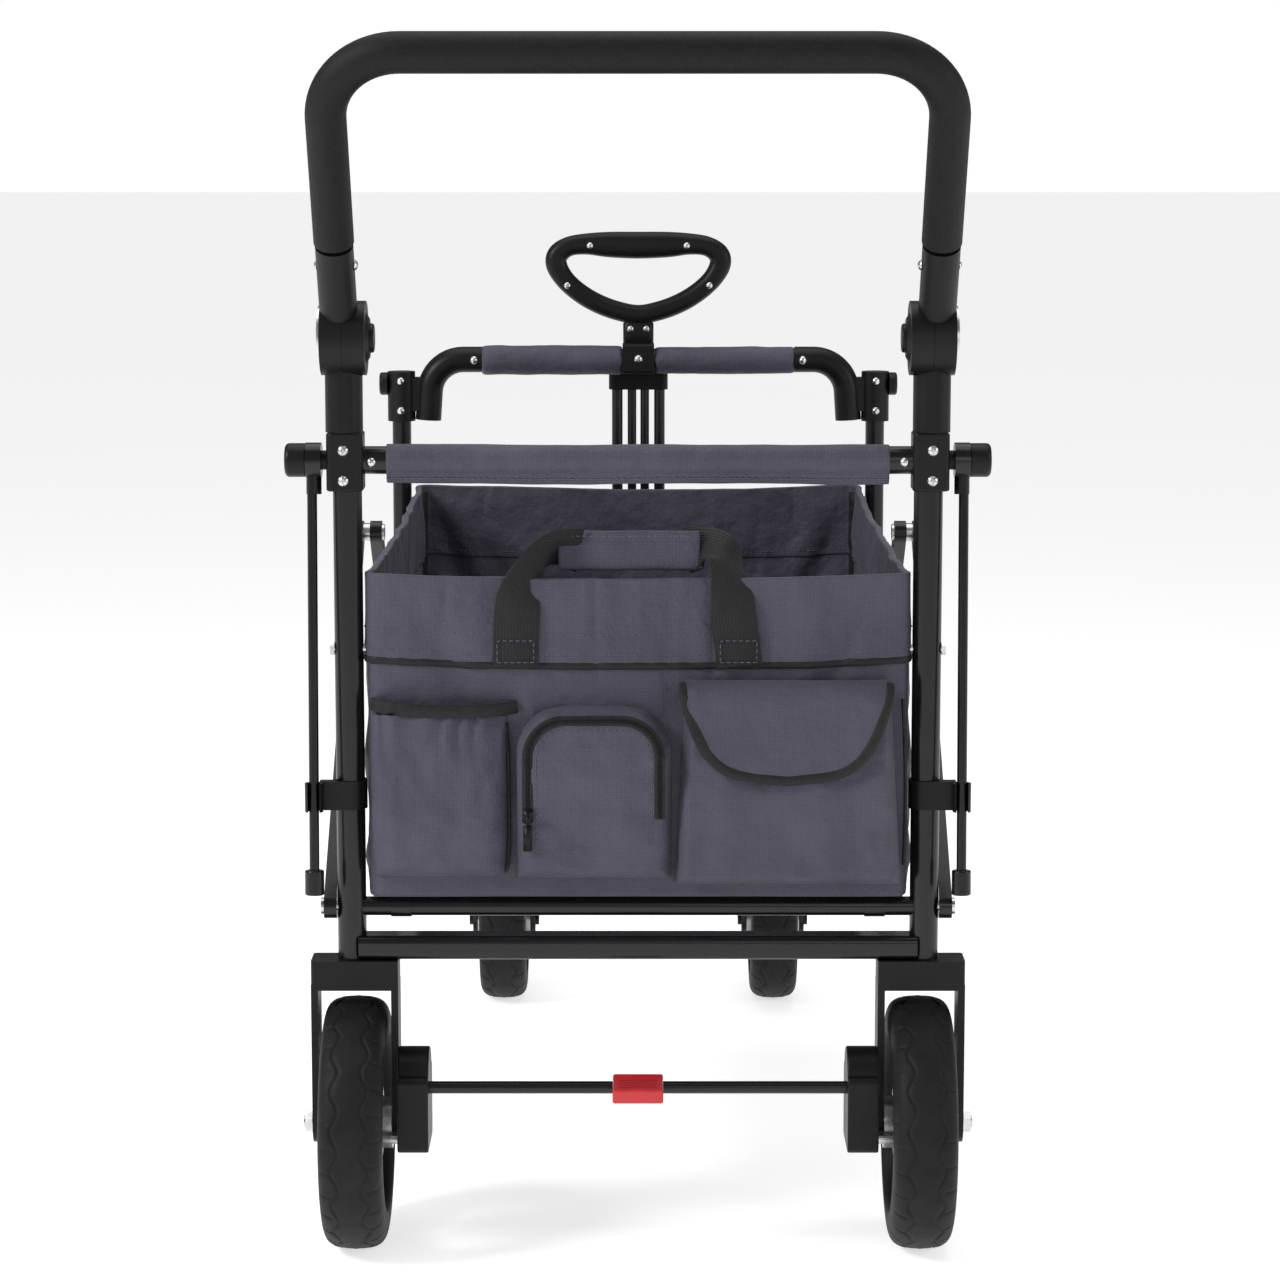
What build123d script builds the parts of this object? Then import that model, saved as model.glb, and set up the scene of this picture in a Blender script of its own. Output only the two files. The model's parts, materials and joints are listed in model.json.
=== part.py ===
"""Folding push-pull wagon for children: a tube frame with a fabric basket.

Millimetres, +Z up, +Y towards the wagon's front, +X to the right seen from behind.
The origin is on the floor, in the middle of the wagon's footprint.
"""

from build123d import *
from math import asin, atan2, cos, degrees, pi, radians, sin, sqrt, tan
import os

os.makedirs("parts", exist_ok=True)

# ---------------------------------------------------------------- driving dimensions
POST_SPAN = 710.0          # rear posts to front posts, along Y
REAR_POST_X = 239.5        # half the distance between the rear posts
FRONT_POST_X = 240.0
REAR_POST_D = 24.0
FRONT_POST_D = 19.0
POST_WALL = 1.5
PIVOT_Z = 292.0            # floor rods and side-link feet
RUN = 0.1                  # bore minus shaft where a piece turns or slides
GAP = 0.3                  # free space between pieces that pass each other

REAR_WHEEL_D = 212.0
REAR_WHEEL_W = 53.0
REAR_TYRE_H = 33.0
REAR_WHEEL_X = 237.0
FORK_GAP = 61.0            # between the rear fork's legs
FORK_PLATE = 6.0
FORK_TOP = 248.0
AXLE_D = 10.0

FRONT_WHEEL_D = 172.0
FRONT_WHEEL_W = 50.0
FRONT_TYRE_H = 30.0
CASTER_X = 145.0
CASTER_REACH = 140.0       # front posts to swivel axis
CASTER_TRAIL = 35.0        # swivel axis to wheel axle
CASTER_GAP = 57.0
CASTER_PLATE = 5.0
CASTER_CROWN_Z = 178.0
CASTER_CROWN_T = 8.0
STEM_D = 16.0

CROSS_H = 20.0             # lower cross tubes: height and depth
CROSS_W = 30.0
CROSS_Z0 = FORK_TOP + 0.5
ROD_D = 16.0               # floor rods
ROD_BORE = 8.0
BOLT_D = 8.0

CROSSBAR_Z = 666.7         # rear crossbar
CROSSBAR_D = 23.0
SLEEVE_HALF = 207.0
CONNECTOR_Z0 = 642.0
CONNECTOR_Z1 = 690.0
KNOB_X0 = 274.0
KNOB_T = 16.5
KNOB_D = 28.0
ARM_D = 16.0               # stub that carries the canopy strut and the knob

STRUT_X = 268.5
STRUT_D = 8.2
STRUT_LEN = 361.0
STRUT_TILT = 4.0           # degrees, hanging towards the rear
CLIP_Z0 = 376.0
CLIP_H = 24.0

JOINT_Z = 767.0            # push handle's axis
DRUM_D = 61.0
DRUM_IN = 222.6
DRUM_MID = 241.0
DRUM_OUT = 259.4
SOCKET_D = 31.0
SOCKET_X = 241.5
BUTTON_D = 24.0
BUTTON_OUT = 216.0
BUTTON_TRAVEL = 4.0
HANDLE_X = 244.0
HANDLE_TUBE_D = 25.0
FOAM_D = 32.7
HANDLE_LEN = 273.0         # joint axis to the top bar's centre line
HANDLE_LEAN = 33.0         # degrees back from vertical
HANDLE_BEND = 60.0

LINK_SPAN = 441.0          # side link, pivot to pivot
LINK_W = 21.0
LINK_T = 10.5
REAR_LINK_X0 = 252.0
FRONT_LINK_X0 = 235.5
LINK_FOOT_BACK = 21.6      # front link foot behind the front posts
TAB_T = 5.5

FLOOR_BAR_X = 198.0        # rear half's side bars
FLOOR_BAR_STEP = 20.0      # the front half's bars run this far inside them
FLOOR_BAR_W = 17.0
FLOOR_BAR_H = 16.0
FLOOR_CROSS_AT = 150.0     # pivot to the half's cross bar

BASKET_HALF = 225.0
BASKET_Z0 = 301.0
BASKET_RIM = 575.0
BASKET_WALL = 3.5
BASKET_REAR = -12.0        # panel faces, from the post planes
BASKET_FRONT = 9.0
BASKET_BOLT_Z = 510.0
MAT_T = 8.0

FRONT_RAIL_Z = 702.0
FRONT_RAIL_D = 22.0
FRONT_SLEEVE_D = 27.0
FRONT_SLEEVE_HALF = 158.0
CATCH_HALF = 16.0
FRONT_SOCKET_D = 28.0
FRONT_TOP = 690.0

PULL_OFFSET = 25.0         # front posts to the pull handle's plane
PULL_PIVOT_Z = 258.0
PULL_SIDE_X = 21.5
PULL_ROD_X = 6.5
PULL_TUBE_D = 11.0
PULL_ROD_D = 9.0
FLANGE_Z0 = 670.0
FLANGE_Z1 = 690.0
GRIP_Z0 = 738.0
GRIP_Z1 = 830.0
GRIP_HALF = 94.0
GRIP_TOP = 28.0
GRIP_SIDE = 24.0

BRAKE_Y = -30.0            # brake bar, from the rear post plane
BRAKE_Z = 143.7
BRAKE_BAR_D = 10.4
PIN_D = 7.8
PIN_Y = -26.0
PIN_Z = 98.0
PIN_TRAVEL = 8.0

# ---------------------------------------------------------------- worked-out places
REAR_WHEEL_R = REAR_WHEEL_D / 2
FRONT_WHEEL_R = FRONT_WHEEL_D / 2
HANDLE_Y = HANDLE_LEN * sin(radians(HANDLE_LEAN))
Y_MIN = -HANDLE_Y - FOAM_D / 2
Y_MAX = POST_SPAN + CASTER_REACH + CASTER_TRAIL + FRONT_WHEEL_R
REAR_Y = -(Y_MIN + Y_MAX) / 2
FRONT_Y = REAR_Y + POST_SPAN
CASTER_Y = FRONT_Y + CASTER_REACH
FRONT_AXLE_Y = CASTER_Y + CASTER_TRAIL
PULL_Y = FRONT_Y + PULL_OFFSET
FOOT_Y = FRONT_Y - LINK_FOOT_BACK
TOP_PIVOT_Y = (REAR_Y + FOOT_Y) / 2
TOP_PIVOT_Z = PIVOT_Z + sqrt(LINK_SPAN**2 - (TOP_PIVOT_Y - REAR_Y) ** 2)
FLOOR_HALF = POST_SPAN / 2
FLOOR_BAR_X2 = FLOOR_BAR_X - FLOOR_BAR_STEP
POST_TOP = JOINT_Z - DRUM_D / 2
SIDES = (-1, 1)
NAMES = {-1: "left", 1: "right"}


# ---------------------------------------------------------------- helpers
def save(name, *solids):
    """Write one node, given as solids or lists of solids."""
    flat = []
    for s in solids:
        flat += list(s) if isinstance(s, (list, tuple)) else [s]
    bodies = []
    for s in flat:
        bodies += s.solids()
    shape = bodies[0] if len(bodies) == 1 else Compound(children=bodies)
    shape.label = name
    export_step(shape, f"parts/{name}.step")


def rod(a, b, d):
    """Round bar from point a to point b."""
    a, b = Vector(*a), Vector(*b)
    return Solid.make_cylinder(d / 2, (b - a).length, Plane(a, z_dir=b - a))


def tube(a, b, d, wall):
    return rod(a, b, d) - rod(a, b, d - 2 * wall)


def block(x, y, z, r=0.0, axis=Axis.Z):
    """Box between the limits x, y and z, with the edges along one axis rounded."""
    (x0, x1), (y0, y1), (z0, z1) = (sorted(v) for v in (x, y, z))
    b = Pos((x0 + x1) / 2, (y0 + y1) / 2, (z0 + z1) / 2) * Box(x1 - x0, y1 - y0, z1 - z0)
    return fillet(b.edges().filter_by(axis), r) if r else b


def soften(shape, r, axis=None):
    """Round a solid's sharp edges, or leave it as it is where they can't be rounded."""
    try:
        edges = shape.edges().filter_by(axis) if axis else shape.edges()
        return fillet(edges, r)
    except Exception:
        return shape


def along_x(s, x0, x1, y, z, d):
    """Round bar along X on side s."""
    return rod((s * x0, y, z), (s * x1, y, z), d)


def ring_x(s, x0, x1, y, z, d, bore):
    return along_x(s, x0, x1, y, z, d) - along_x(s, x0 - 1, x1 + 1, y, z, bore)


def dome(at, direction, d, h):
    """Rivet or screw head: a spherical cap that stands on its flat face."""
    r = (d * d / 4 + h * h) / (2 * h)
    half = asin(min(1.0, d / 2 / r)) / 2
    mid = (r * sin(half), h - r + r * cos(half))
    outline = Line((0, 0), (d / 2, 0)) + ThreePointArc((d / 2, 0), mid, (0, h)) + Line((0, h), (0, 0))
    head = revolve(make_face(Plane.XZ * outline), Axis.Z)
    return Plane(Vector(*at), z_dir=Vector(*direction)) * head


def screw(at, direction, d, h):
    """Cross-head screw."""
    at, z = Vector(*at), Vector(*direction).normalized()
    head = dome(at, direction, d, h)
    plane = Plane(at + z * (h * 0.45), z_dir=z)
    for w, l in ((d * 0.14, d * 0.55), (d * 0.55, d * 0.14)):
        head -= plane * Pos(0, 0, h / 2) * Box(w, l, h)
    return head


def bent_path(points, bend):
    """Wire through the points, with an arc of the given radius at each inner corner."""
    pts = [Vector(*p) for p in points]
    edges, at = [], pts[0]
    for p0, p1, p2 in zip(pts, pts[1:], pts[2:]):
        u, v = (p0 - p1).normalized(), (p2 - p1).normalized()
        half = radians(u.get_angle(v)) / 2
        a, b = p1 + u * (bend / tan(half)), p1 + v * (bend / tan(half))
        mid = p1 + (u + v).normalized() * (bend / sin(half) - bend)
        edges += [Line(at, a), ThreePointArc(a, mid, b)]
        at = b
    edges.append(Line(at, pts[-1]))
    return Wire([e.edge() for e in edges])


def swept(points, d, bend):
    """Round bar along a bent path."""
    path = bent_path(points, bend)
    return sweep(Plane(path @ 0, z_dir=path % 0) * Circle(d / 2), path=path)


def both(make):
    """The piece on the left and on the right."""
    return [make(s) for s in SIDES]


# ---------------------------------------------------------------- rear frame
def rear_post(s):
    x = s * REAR_POST_X
    post = tube((x, REAR_Y, FORK_TOP), (x, REAR_Y, POST_TOP - 2), REAR_POST_D, POST_WALL)
    for z, d in ((PIVOT_Z, BOLT_D), (BASKET_BOLT_Z, 6.0)):
        post -= along_x(s, REAR_POST_X - 20, REAR_POST_X + 20, REAR_Y, z, d)
    return post


def cross_tube(y, post_x, post_d):
    """Flat-sided lower tube between two posts, shaped to fit against them."""
    z = (CROSS_Z0, CROSS_Z0 + CROSS_H)
    outer = block((-post_x, post_x), (y - CROSS_W / 2, y + CROSS_W / 2), z, 6, Axis.X)
    inner = block(
        (-post_x, post_x),
        (y - CROSS_W / 2 + 2, y + CROSS_W / 2 - 2),
        (z[0] + 2, z[1] - 2),
        4,
        Axis.X,
    )
    bar = outer - inner
    for s in SIDES:
        bar -= block(
            (s * (post_x - post_d / 4), s * (post_x + 20)), (y - 40, y + 40), (z[0] - 1, z[1] + 1)
        )
        bar -= rod((s * post_x, y, z[0] - 1), (s * post_x, y, z[1] + 1), post_d)
    return bar


def floor_rod(y, post_x, post_d):
    """Round rod that a floor half turns on, tapped at both ends for the foot bolts."""
    bar = tube((-post_x, y, PIVOT_Z), (post_x, y, PIVOT_Z), ROD_D, (ROD_D - ROD_BORE) / 2)
    for s in SIDES:
        bar -= rod((s * post_x, y, PIVOT_Z - 20), (s * post_x, y, PIVOT_Z + 20), post_d)
    return max(bar.solids(), key=lambda b: b.volume)


def crossbar():
    x = REAR_POST_X
    bar = tube((-x, REAR_Y, CROSSBAR_Z), (x, REAR_Y, CROSSBAR_Z), CROSSBAR_D, POST_WALL)
    for s in SIDES:
        bar -= rod((s * x, REAR_Y, CONNECTOR_Z0), (s * x, REAR_Y, CONNECTOR_Z1), REAR_POST_D)
    return max(bar.solids(), key=lambda b: b.volume)


def corner_connector(s):
    """Moulded corner that joins post, crossbar and the stub of the canopy strut."""
    y, z = REAR_Y, CROSSBAR_Z
    body = block(
        (s * (REAR_POST_X - 14), s * (REAR_POST_X + 16.3)),
        (y - 16, y + 16),
        (CONNECTOR_Z0, CONNECTOR_Z1),
        5,
    )
    body = soften(body, 2)
    body += along_x(s, REAR_POST_X, KNOB_X0, y, z, ARM_D)
    body -= rod((s * REAR_POST_X, y, 600), (s * REAR_POST_X, y, 760), REAR_POST_D)
    body -= along_x(s, 180, REAR_POST_X, y, z, CROSSBAR_D)
    return body


def strut_knob(s):
    knob = along_x(s, KNOB_X0, KNOB_X0 + KNOB_T, REAR_Y, CROSSBAR_Z, KNOB_D)
    return fillet(knob.edges().sort_by(Axis.X)[-1 if s > 0 else 0], 4)


def strut_clip(s):
    """C-shaped clip on the post that the canopy strut snaps into from behind."""
    x, z0, z1 = s * REAR_POST_X, CLIP_Z0, CLIP_Z0 + CLIP_H
    rod_y = REAR_Y - (CROSSBAR_Z - CLIP_Z0 - CLIP_H / 2) * sin(radians(STRUT_TILT))
    jaw_d = STRUT_D + 7
    band = rod((x, REAR_Y, z0), (x, REAR_Y, z1), REAR_POST_D + 4)
    band -= block((s * (REAR_LINK_X0 - GAP), s * 300), (REAR_Y + 0.5, REAR_Y + 30), (z0 - 1, z1 + 1))
    arm_x = (x, s * (STRUT_X - STRUT_D / 2))
    arm = block(arm_x, (REAR_Y - 14, REAR_Y - 3), (z0, z1))
    jaw = rod((s * STRUT_X, rod_y, z0), (s * STRUT_X, rod_y, z1), jaw_d)
    body = band + arm + jaw
    body -= rod((x, REAR_Y, z0 - 1), (x, REAR_Y, z1 + 1), REAR_POST_D)
    slot = (STRUT_D / 2 + GAP + 0.5)
    body -= rod((s * STRUT_X, rod_y, z0 - 1), (s * STRUT_X, rod_y, z1 + 1), 2 * slot)
    return body - block(
        (s * (STRUT_X - slot), s * (STRUT_X + slot)), (rod_y, rod_y - 30), (z0 - 1, z1 + 1)
    )


def wheel_fork(s):
    """Inverted U that holds a rear wheel under the post."""
    out = FORK_GAP / 2 + FORK_PLATE
    x = s * REAR_WHEEL_X
    plan = block((x - out, x + out), (REAR_Y - 17, REAR_Y + 17), (FORK_TOP - 25, FORK_TOP), 3)
    body = plan
    for e in (-1, 1):
        a = x + e * FORK_GAP / 2
        b = x + e * out
        body += block((a, b), (REAR_Y - 17, REAR_Y + 17), (REAR_WHEEL_R, FORK_TOP - 20))
        body += rod((a, REAR_Y, REAR_WHEEL_R), (b, REAR_Y, REAR_WHEEL_R), 34)
    body -= along_x(s, REAR_WHEEL_X - 50, REAR_WHEEL_X + 50, REAR_Y, REAR_WHEEL_R, AXLE_D)
    inner = REAR_WHEEL_X - out
    return body - along_x(s, inner - 1, inner + FORK_PLATE + 1, REAR_Y + PIN_Y, PIN_Z, PIN_D + 1)


def rear_axle(s):
    """Axle bolt with its head inside and a lock nut outside."""
    out = FORK_GAP / 2 + FORK_PLATE
    x0, x1 = REAR_WHEEL_X - out, REAR_WHEEL_X + out
    y, z = REAR_Y, REAR_WHEEL_R
    bolt = along_x(s, x0, x1 + 8.5, y, z, AXLE_D)
    nut = extrude(Plane((s * x1, y, z), z_dir=(s, 0, 0)) * RegularPolygon(9, 6), 7)
    washer = ring_x(s, x1, x1 + 1, y, z, 22, AXLE_D)
    return bolt + nut + washer


def brake_housing(s):
    """Moulded case on the fork's inner leg: carries the brake bar and the lock pin."""
    x1 = REAR_WHEEL_X - FORK_GAP / 2 - FORK_PLATE
    x0 = x1 - 26
    y = REAR_Y
    body = block((s * x0, s * x1), (y - 48, y + 18), (PIN_Z - 7, BRAKE_Z + 12), 6, Axis.X)
    body += rod((s * x0, y - 15, BRAKE_Z + 5), (s * x1, y - 15, BRAKE_Z + 5), 52)
    body = soften(body, 1.5)
    body -= along_x(s, x0 - 1, x1 - 8, y + BRAKE_Y, BRAKE_Z, BRAKE_BAR_D + RUN)
    body -= along_x(s, x1 - 20, x1 + 1, y + PIN_Y, PIN_Z, PIN_D + RUN)
    return body - along_x(s, x1 - 4, x1 + 1, y, REAR_WHEEL_R, AXLE_D + 8)


def handle_socket(s):
    """Lower half of the handle joint: tube socket and outer drum."""
    y = REAR_Y
    body = rod((s * SOCKET_X, y, CONNECTOR_Z1), (s * SOCKET_X, y, JOINT_Z), SOCKET_D)
    body -= along_x(s, DRUM_IN - 6, DRUM_OUT + 6, y, JOINT_Z, DRUM_D + 2 * GAP)
    body += along_x(s, DRUM_MID + GAP / 2, DRUM_OUT, y, JOINT_Z, DRUM_D)
    neck = rod((s * SOCKET_X, y, POST_TOP - 4), (s * SOCKET_X, y, JOINT_Z - 12), SOCKET_D)
    body += neck & block(
        (s * (DRUM_MID + GAP / 2), s * 300), (y - 40, y + 40), (JOINT_Z - 60, JOINT_Z)
    )
    body -= rod((s * REAR_POST_X, y, 600), (s * REAR_POST_X, y, POST_TOP - 2), REAR_POST_D)
    return body - along_x(s, DRUM_MID - 2, DRUM_OUT + 1, y, JOINT_Z, AXLE_D)


def handle_plate(s):
    """Steel joint pin and the plate on the drum's outer face."""
    y = REAR_Y
    plate = along_x(s, DRUM_OUT, DRUM_OUT + 2.2, y, JOINT_Z, DRUM_D - 8)
    plate -= block((s * 200, s * 300), (y - 40, y + 40), (JOINT_Z - 40, JOINT_Z - 9))
    pin = along_x(s, DRUM_MID - 6.2, DRUM_OUT + 2.2, y, JOINT_Z, AXLE_D)
    caps = [
        dome((s * (DRUM_OUT + 2.2), y + dy, JOINT_Z + dz), (s, 0, 0), 7, 1.1)
        for dy, dz in ((0, 0), (-16, 8), (16, 8))
    ]
    for c in caps:
        pin += c
    return plate + pin


save("rear_post_tubes", both(rear_post))
save("rear_cross_tubes", cross_tube(REAR_Y, REAR_POST_X, REAR_POST_D),
     floor_rod(REAR_Y, REAR_POST_X, REAR_POST_D), crossbar())
save("rear_corner_connectors", both(corner_connector))
save("strut_knobs", both(strut_knob))
save("strut_clips", both(strut_clip))
save("rear_wheel_forks", both(wheel_fork))
save("brake_housings", both(brake_housing))
save("handle_joint_sockets", both(handle_socket))
save("handle_joint_plates", both(handle_plate))


def foot_bolt(s):
    """Bolt through the post into the floor rod: the rear side link turns on it."""
    head = REAR_LINK_X0 + LINK_T + GAP
    bolt = along_x(s, REAR_POST_X - 40, head + 0.1, REAR_Y, PIVOT_Z, BOLT_D)
    return bolt + along_x(s, head, head + 2.5, REAR_Y, PIVOT_Z, 14)


def basket_bolt(s, y, post_x, post_d):
    """Bolt and washer that hold a corner of the basket to its post."""
    x0 = BASKET_HALF - BASKET_WALL
    x1 = post_x + post_d / 2
    bolt = along_x(s, x0 - 1.5, x1 + 3, y, BASKET_BOLT_Z, 6)
    bolt += along_x(s, x0 - 1.5, x0, y, BASKET_BOLT_Z, 9)
    nut = extrude(Plane((s * (x1 + 0.1), y, BASKET_BOLT_Z), z_dir=(s, 0, 0)) * RegularPolygon(5.5, 6), 3.5)
    return bolt + nut


def rear_rivets():
    heads = []
    for s in SIDES:
        for dz in (9, -16):
            at = (s * (REAR_POST_X + 2.3), REAR_Y - 16, CROSSBAR_Z + dz)
            heads.append(screw(at, (0, -1, 0), 8.5, 2.2))
        at = (s * (REAR_POST_X - 20.5), REAR_Y - CROSSBAR_D / 2 + 0.6, CROSSBAR_Z - 1)
        bar = along_x(s, 180, 240, REAR_Y, CROSSBAR_Z, CROSSBAR_D)
        heads.append(dome(at, (0, -1, 0), 8, 2.6) - bar)
    return heads


save("rear_axle_bolts", both(rear_axle))
save("rear_frame_fasteners", both(foot_bolt), rear_rivets(),
     both(lambda s: basket_bolt(s, REAR_Y, REAR_POST_X, REAR_POST_D)))

# ---------------------------------------------------------------- push handle
LEAN = radians(HANDLE_LEAN)


def on_handle(s, along, x=HANDLE_X):
    """Point on a handle leg, at a distance from the joint."""
    return (s * x, REAR_Y - along * sin(LEAN), JOINT_Z + along * cos(LEAN))


def handle_hub(s):
    """Upper half of the handle joint: inner drum, cheek and leg sleeve."""
    y = REAR_Y
    drum = along_x(s, DRUM_IN, DRUM_MID - GAP / 2, y, JOINT_Z, DRUM_D)
    leg = rod(on_handle(s, 0), on_handle(s, 92), SOCKET_D)
    sleeve = leg - along_x(s, DRUM_IN - 6, DRUM_OUT + 6, y, JOINT_Z, DRUM_D + 2 * GAP)
    neck = rod(on_handle(s, 12), on_handle(s, DRUM_D / 2 + 3), SOCKET_D)
    neck &= block((s * 200, s * (DRUM_MID - GAP / 2)), (y - 90, y + 90), (JOINT_Z - 90, JOINT_Z + 90))
    cheek = Solid.make_cone(
        BUTTON_D / 2 + 9, BUTTON_D / 2 + 4, 3, Plane((s * DRUM_IN, y, JOINT_Z), z_dir=(-s, 0, 0))
    )
    body = drum + sleeve + neck + cheek
    body -= rod(on_handle(s, 37), on_handle(s, 100), HANDLE_TUBE_D)
    body -= along_x(s, DRUM_IN - 8, DRUM_MID - 6.5, y, JOINT_Z, BUTTON_D + 2 * RUN)
    return body - along_x(s, DRUM_MID - 8, DRUM_MID + 2, y, JOINT_Z, AXLE_D + RUN)


def handle_points(start):
    return [on_handle(-1, start), on_handle(-1, HANDLE_LEN), on_handle(1, HANDLE_LEN), on_handle(1, start)]


def handle_tube():
    return swept(handle_points(37), HANDLE_TUBE_D, HANDLE_BEND) - swept(
        handle_points(30), HANDLE_TUBE_D - 2 * POST_WALL, HANDLE_BEND
    )


def handle_foam():
    return swept(handle_points(96), FOAM_D, HANDLE_BEND) - swept(
        handle_points(90), HANDLE_TUBE_D, HANDLE_BEND
    )


def handle_rivet(s):
    """Rivet through the sleeve and the tube's end."""
    x, y, z = on_handle(s, 73)
    out = dome((s * (HANDLE_X + SOCKET_D / 2), y, z), (s, 0, 0), 7, 2.0)
    inn = dome((s * (HANDLE_X - SOCKET_D / 2), y, z), (-s, 0, 0), 9, 3.0)
    return [out, inn]


def joint_button(s):
    b = along_x(s, BUTTON_OUT, DRUM_MID - 6.5 - BUTTON_TRAVEL - GAP, REAR_Y, JOINT_Z, BUTTON_D)
    return fillet(b.edges().sort_by(Axis.X)[0 if s > 0 else -1], 2)


save("handle_joint_hubs", both(handle_hub))
save("push_handle_tube", handle_tube())
save("push_handle_foam", handle_foam())
save("push_handle_rivets", both(handle_rivet)[0], both(handle_rivet)[1])
for side in SIDES:
    save(f"joint_button_{NAMES[side]}", joint_button(side))

# ---------------------------------------------------------------- canopy struts
def canopy_strut(s):
    """Rod that hangs from the connector's stub; it swings up to carry the canopy."""
    tilt = radians(STRUT_TILT)

    def at(d, x=STRUT_X):
        return (s * x, REAR_Y - d * sin(tilt), CROSSBAR_Z - d * cos(tilt))

    x0, x1 = REAR_POST_X + 21, KNOB_X0 - 0.7
    mid = (x0 + x1) / 2
    eye = ring_x(s, x0, x1, REAR_Y, CROSSBAR_Z, 29, ARM_D + RUN)
    socket = rod(at(11, mid), at(28, mid), x1 - x0 - 0.2)
    socket -= along_x(s, x0 - 5, x1 + 5, REAR_Y, CROSSBAR_Z, 28)
    bar = rod(at(26), at(STRUT_LEN - 8), STRUT_D)
    bore = rod(at(22), at(STRUT_LEN), STRUT_D)
    cap = soften(rod(at(STRUT_LEN - 21), at(STRUT_LEN), 16), 1.5)
    return bar, (eye + socket) - bore, cap - rod(at(STRUT_LEN - 30), at(STRUT_LEN - 8), STRUT_D)


for side in SIDES:
    bar, eye, cap = canopy_strut(side)
    save(f"canopy_strut_{NAMES[side]}", bar, eye, cap)


# ---------------------------------------------------------------- brake
def brake_bar():
    end = REAR_WHEEL_X - FORK_GAP / 2 - FORK_PLATE - 9
    return rod((-end, REAR_Y + BRAKE_Y, BRAKE_Z), (end, REAR_Y + BRAKE_Y, BRAKE_Z), BRAKE_BAR_D)


def brake_pedal():
    y, z = REAR_Y + BRAKE_Y, BRAKE_Z
    body = rod((-21, y, z), (21, y, z), 22)
    body += block((-21, 21), (y - 42, y), (z - 3, z + 9))
    body = soften(body, 2)
    for i in range(4):
        groove_y = y - 34 + 7 * i
        body -= block((-16, 16), (groove_y, groove_y + 2.5), (z + 8, z + 12))
    return body - rod((-30, y, z), (30, y, z), BRAKE_BAR_D)


def brake_pin(s):
    x1 = REAR_WHEEL_X - FORK_GAP / 2 - FORK_PLATE
    return along_x(s, x1 - 14, x1 + 15.9, REAR_Y + PIN_Y, PIN_Z, PIN_D)


save("brake_bar", brake_bar())
save("brake_pedal", brake_pedal())
for side in SIDES:
    save(f"brake_pin_{NAMES[side]}", brake_pin(side))


# ---------------------------------------------------------------- wheels
def tyre(x, y, r, width, rim_d):
    """Solid tyre with rounded shoulders, turned about the axle."""
    h = width / 2
    section = Plane.XY * Polyline(
        (-h + 5, rim_d / 2), (h - 5, rim_d / 2), (h, rim_d / 2 + 8), (h, r - 14),
        (h - 5, r - 5), (h - 14, r), (-h + 14, r), (-h + 5, r - 5), (-h, r - 14),
        (-h, rim_d / 2 + 8), (-h + 5, rim_d / 2),
    )
    face = make_face(section)
    face = fillet(face.vertices().filter_by(lambda v: v.Y > r - 16), 5)
    return Pos(x, y, r) * revolve(face, Axis.X)


def rim(s, x, y, r, rim_d, hub_d, hub_len, bore, width, lock=False):
    """Spoked rim with its hub; the rear rims carry a ring of holes for the brake pin."""
    body = ring_x(s, s * x - width / 2, s * x + width / 2, y, r, rim_d, rim_d - 16)
    body += along_x(s, s * x - hub_len / 2, s * x + hub_len / 2, y, r, hub_d)
    for i in range(5):
        spoke = block((-6, 6), (-9, 9), (hub_d / 2 - 3, rim_d / 2 - 6), 3)
        body += Pos(x, y, r) * Rot(72 * i, 0, 0) * spoke
    if lock:
        face = s * x - 20
        body += along_x(s, face, face + 6, y, r, 74)
        first = atan2(PIN_Z - REAR_WHEEL_R, PIN_Y)
        reach = sqrt(PIN_Y**2 + (PIN_Z - REAR_WHEEL_R) ** 2)
        for i in range(12):
            a = first + i * pi / 6
            body -= along_x(s, face - 1, face + 7, y + reach * cos(a), r + reach * sin(a), PIN_D + 1)
    return body - along_x(s, s * x - 60, s * x + 60, y, r, bore)


for side in SIDES:
    n = NAMES[side]
    x, y, r = side * REAR_WHEEL_X, REAR_Y, REAR_WHEEL_R
    rim_d = 2 * (r - REAR_TYRE_H)
    save(f"rear_tyre_{n}", tyre(x, y, r, REAR_WHEEL_W, rim_d))
    save(f"rear_rim_{n}", rim(side, x, y, r, rim_d, 44, FORK_GAP - 2 * GAP, AXLE_D + RUN, 34, True))
    x, y, r = side * CASTER_X, FRONT_AXLE_Y, FRONT_WHEEL_R
    rim_d = 2 * (r - FRONT_TYRE_H)
    save(f"front_tyre_{n}", tyre(x, y, r, FRONT_WHEEL_W, rim_d))
    save(f"front_rim_{n}", rim(side, x, y, r, rim_d, 36, CASTER_GAP - 2 * GAP, 8 + RUN, 32))


# ---------------------------------------------------------------- side links
def link(s, x0, y0, z0, y1, z1, holes):
    """Flat bar with round ends between two pivots; holes gives the bore at each end."""
    a, b = Vector(0, y0, z0), Vector(0, y1, z1)
    mid, run = (a + b) * 0.5, b - a
    angle = degrees(atan2(run.Z, run.Y))
    bar = Rot(angle, 0, 0) * block((s * x0, s * (x0 + LINK_T)), (-run.length / 2, run.length / 2),
                                   (-LINK_W / 2, LINK_W / 2))
    body = Pos(0, mid.Y, mid.Z) * bar
    for p, d in zip((a, b), holes):
        body += along_x(s, x0, x0 + LINK_T, p.Y, p.Z, LINK_W)
    for p, d in zip((a, b), holes):
        body -= along_x(s, x0 - 1, x0 + LINK_T + 1, p.Y, p.Z, d)
    return body


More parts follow.
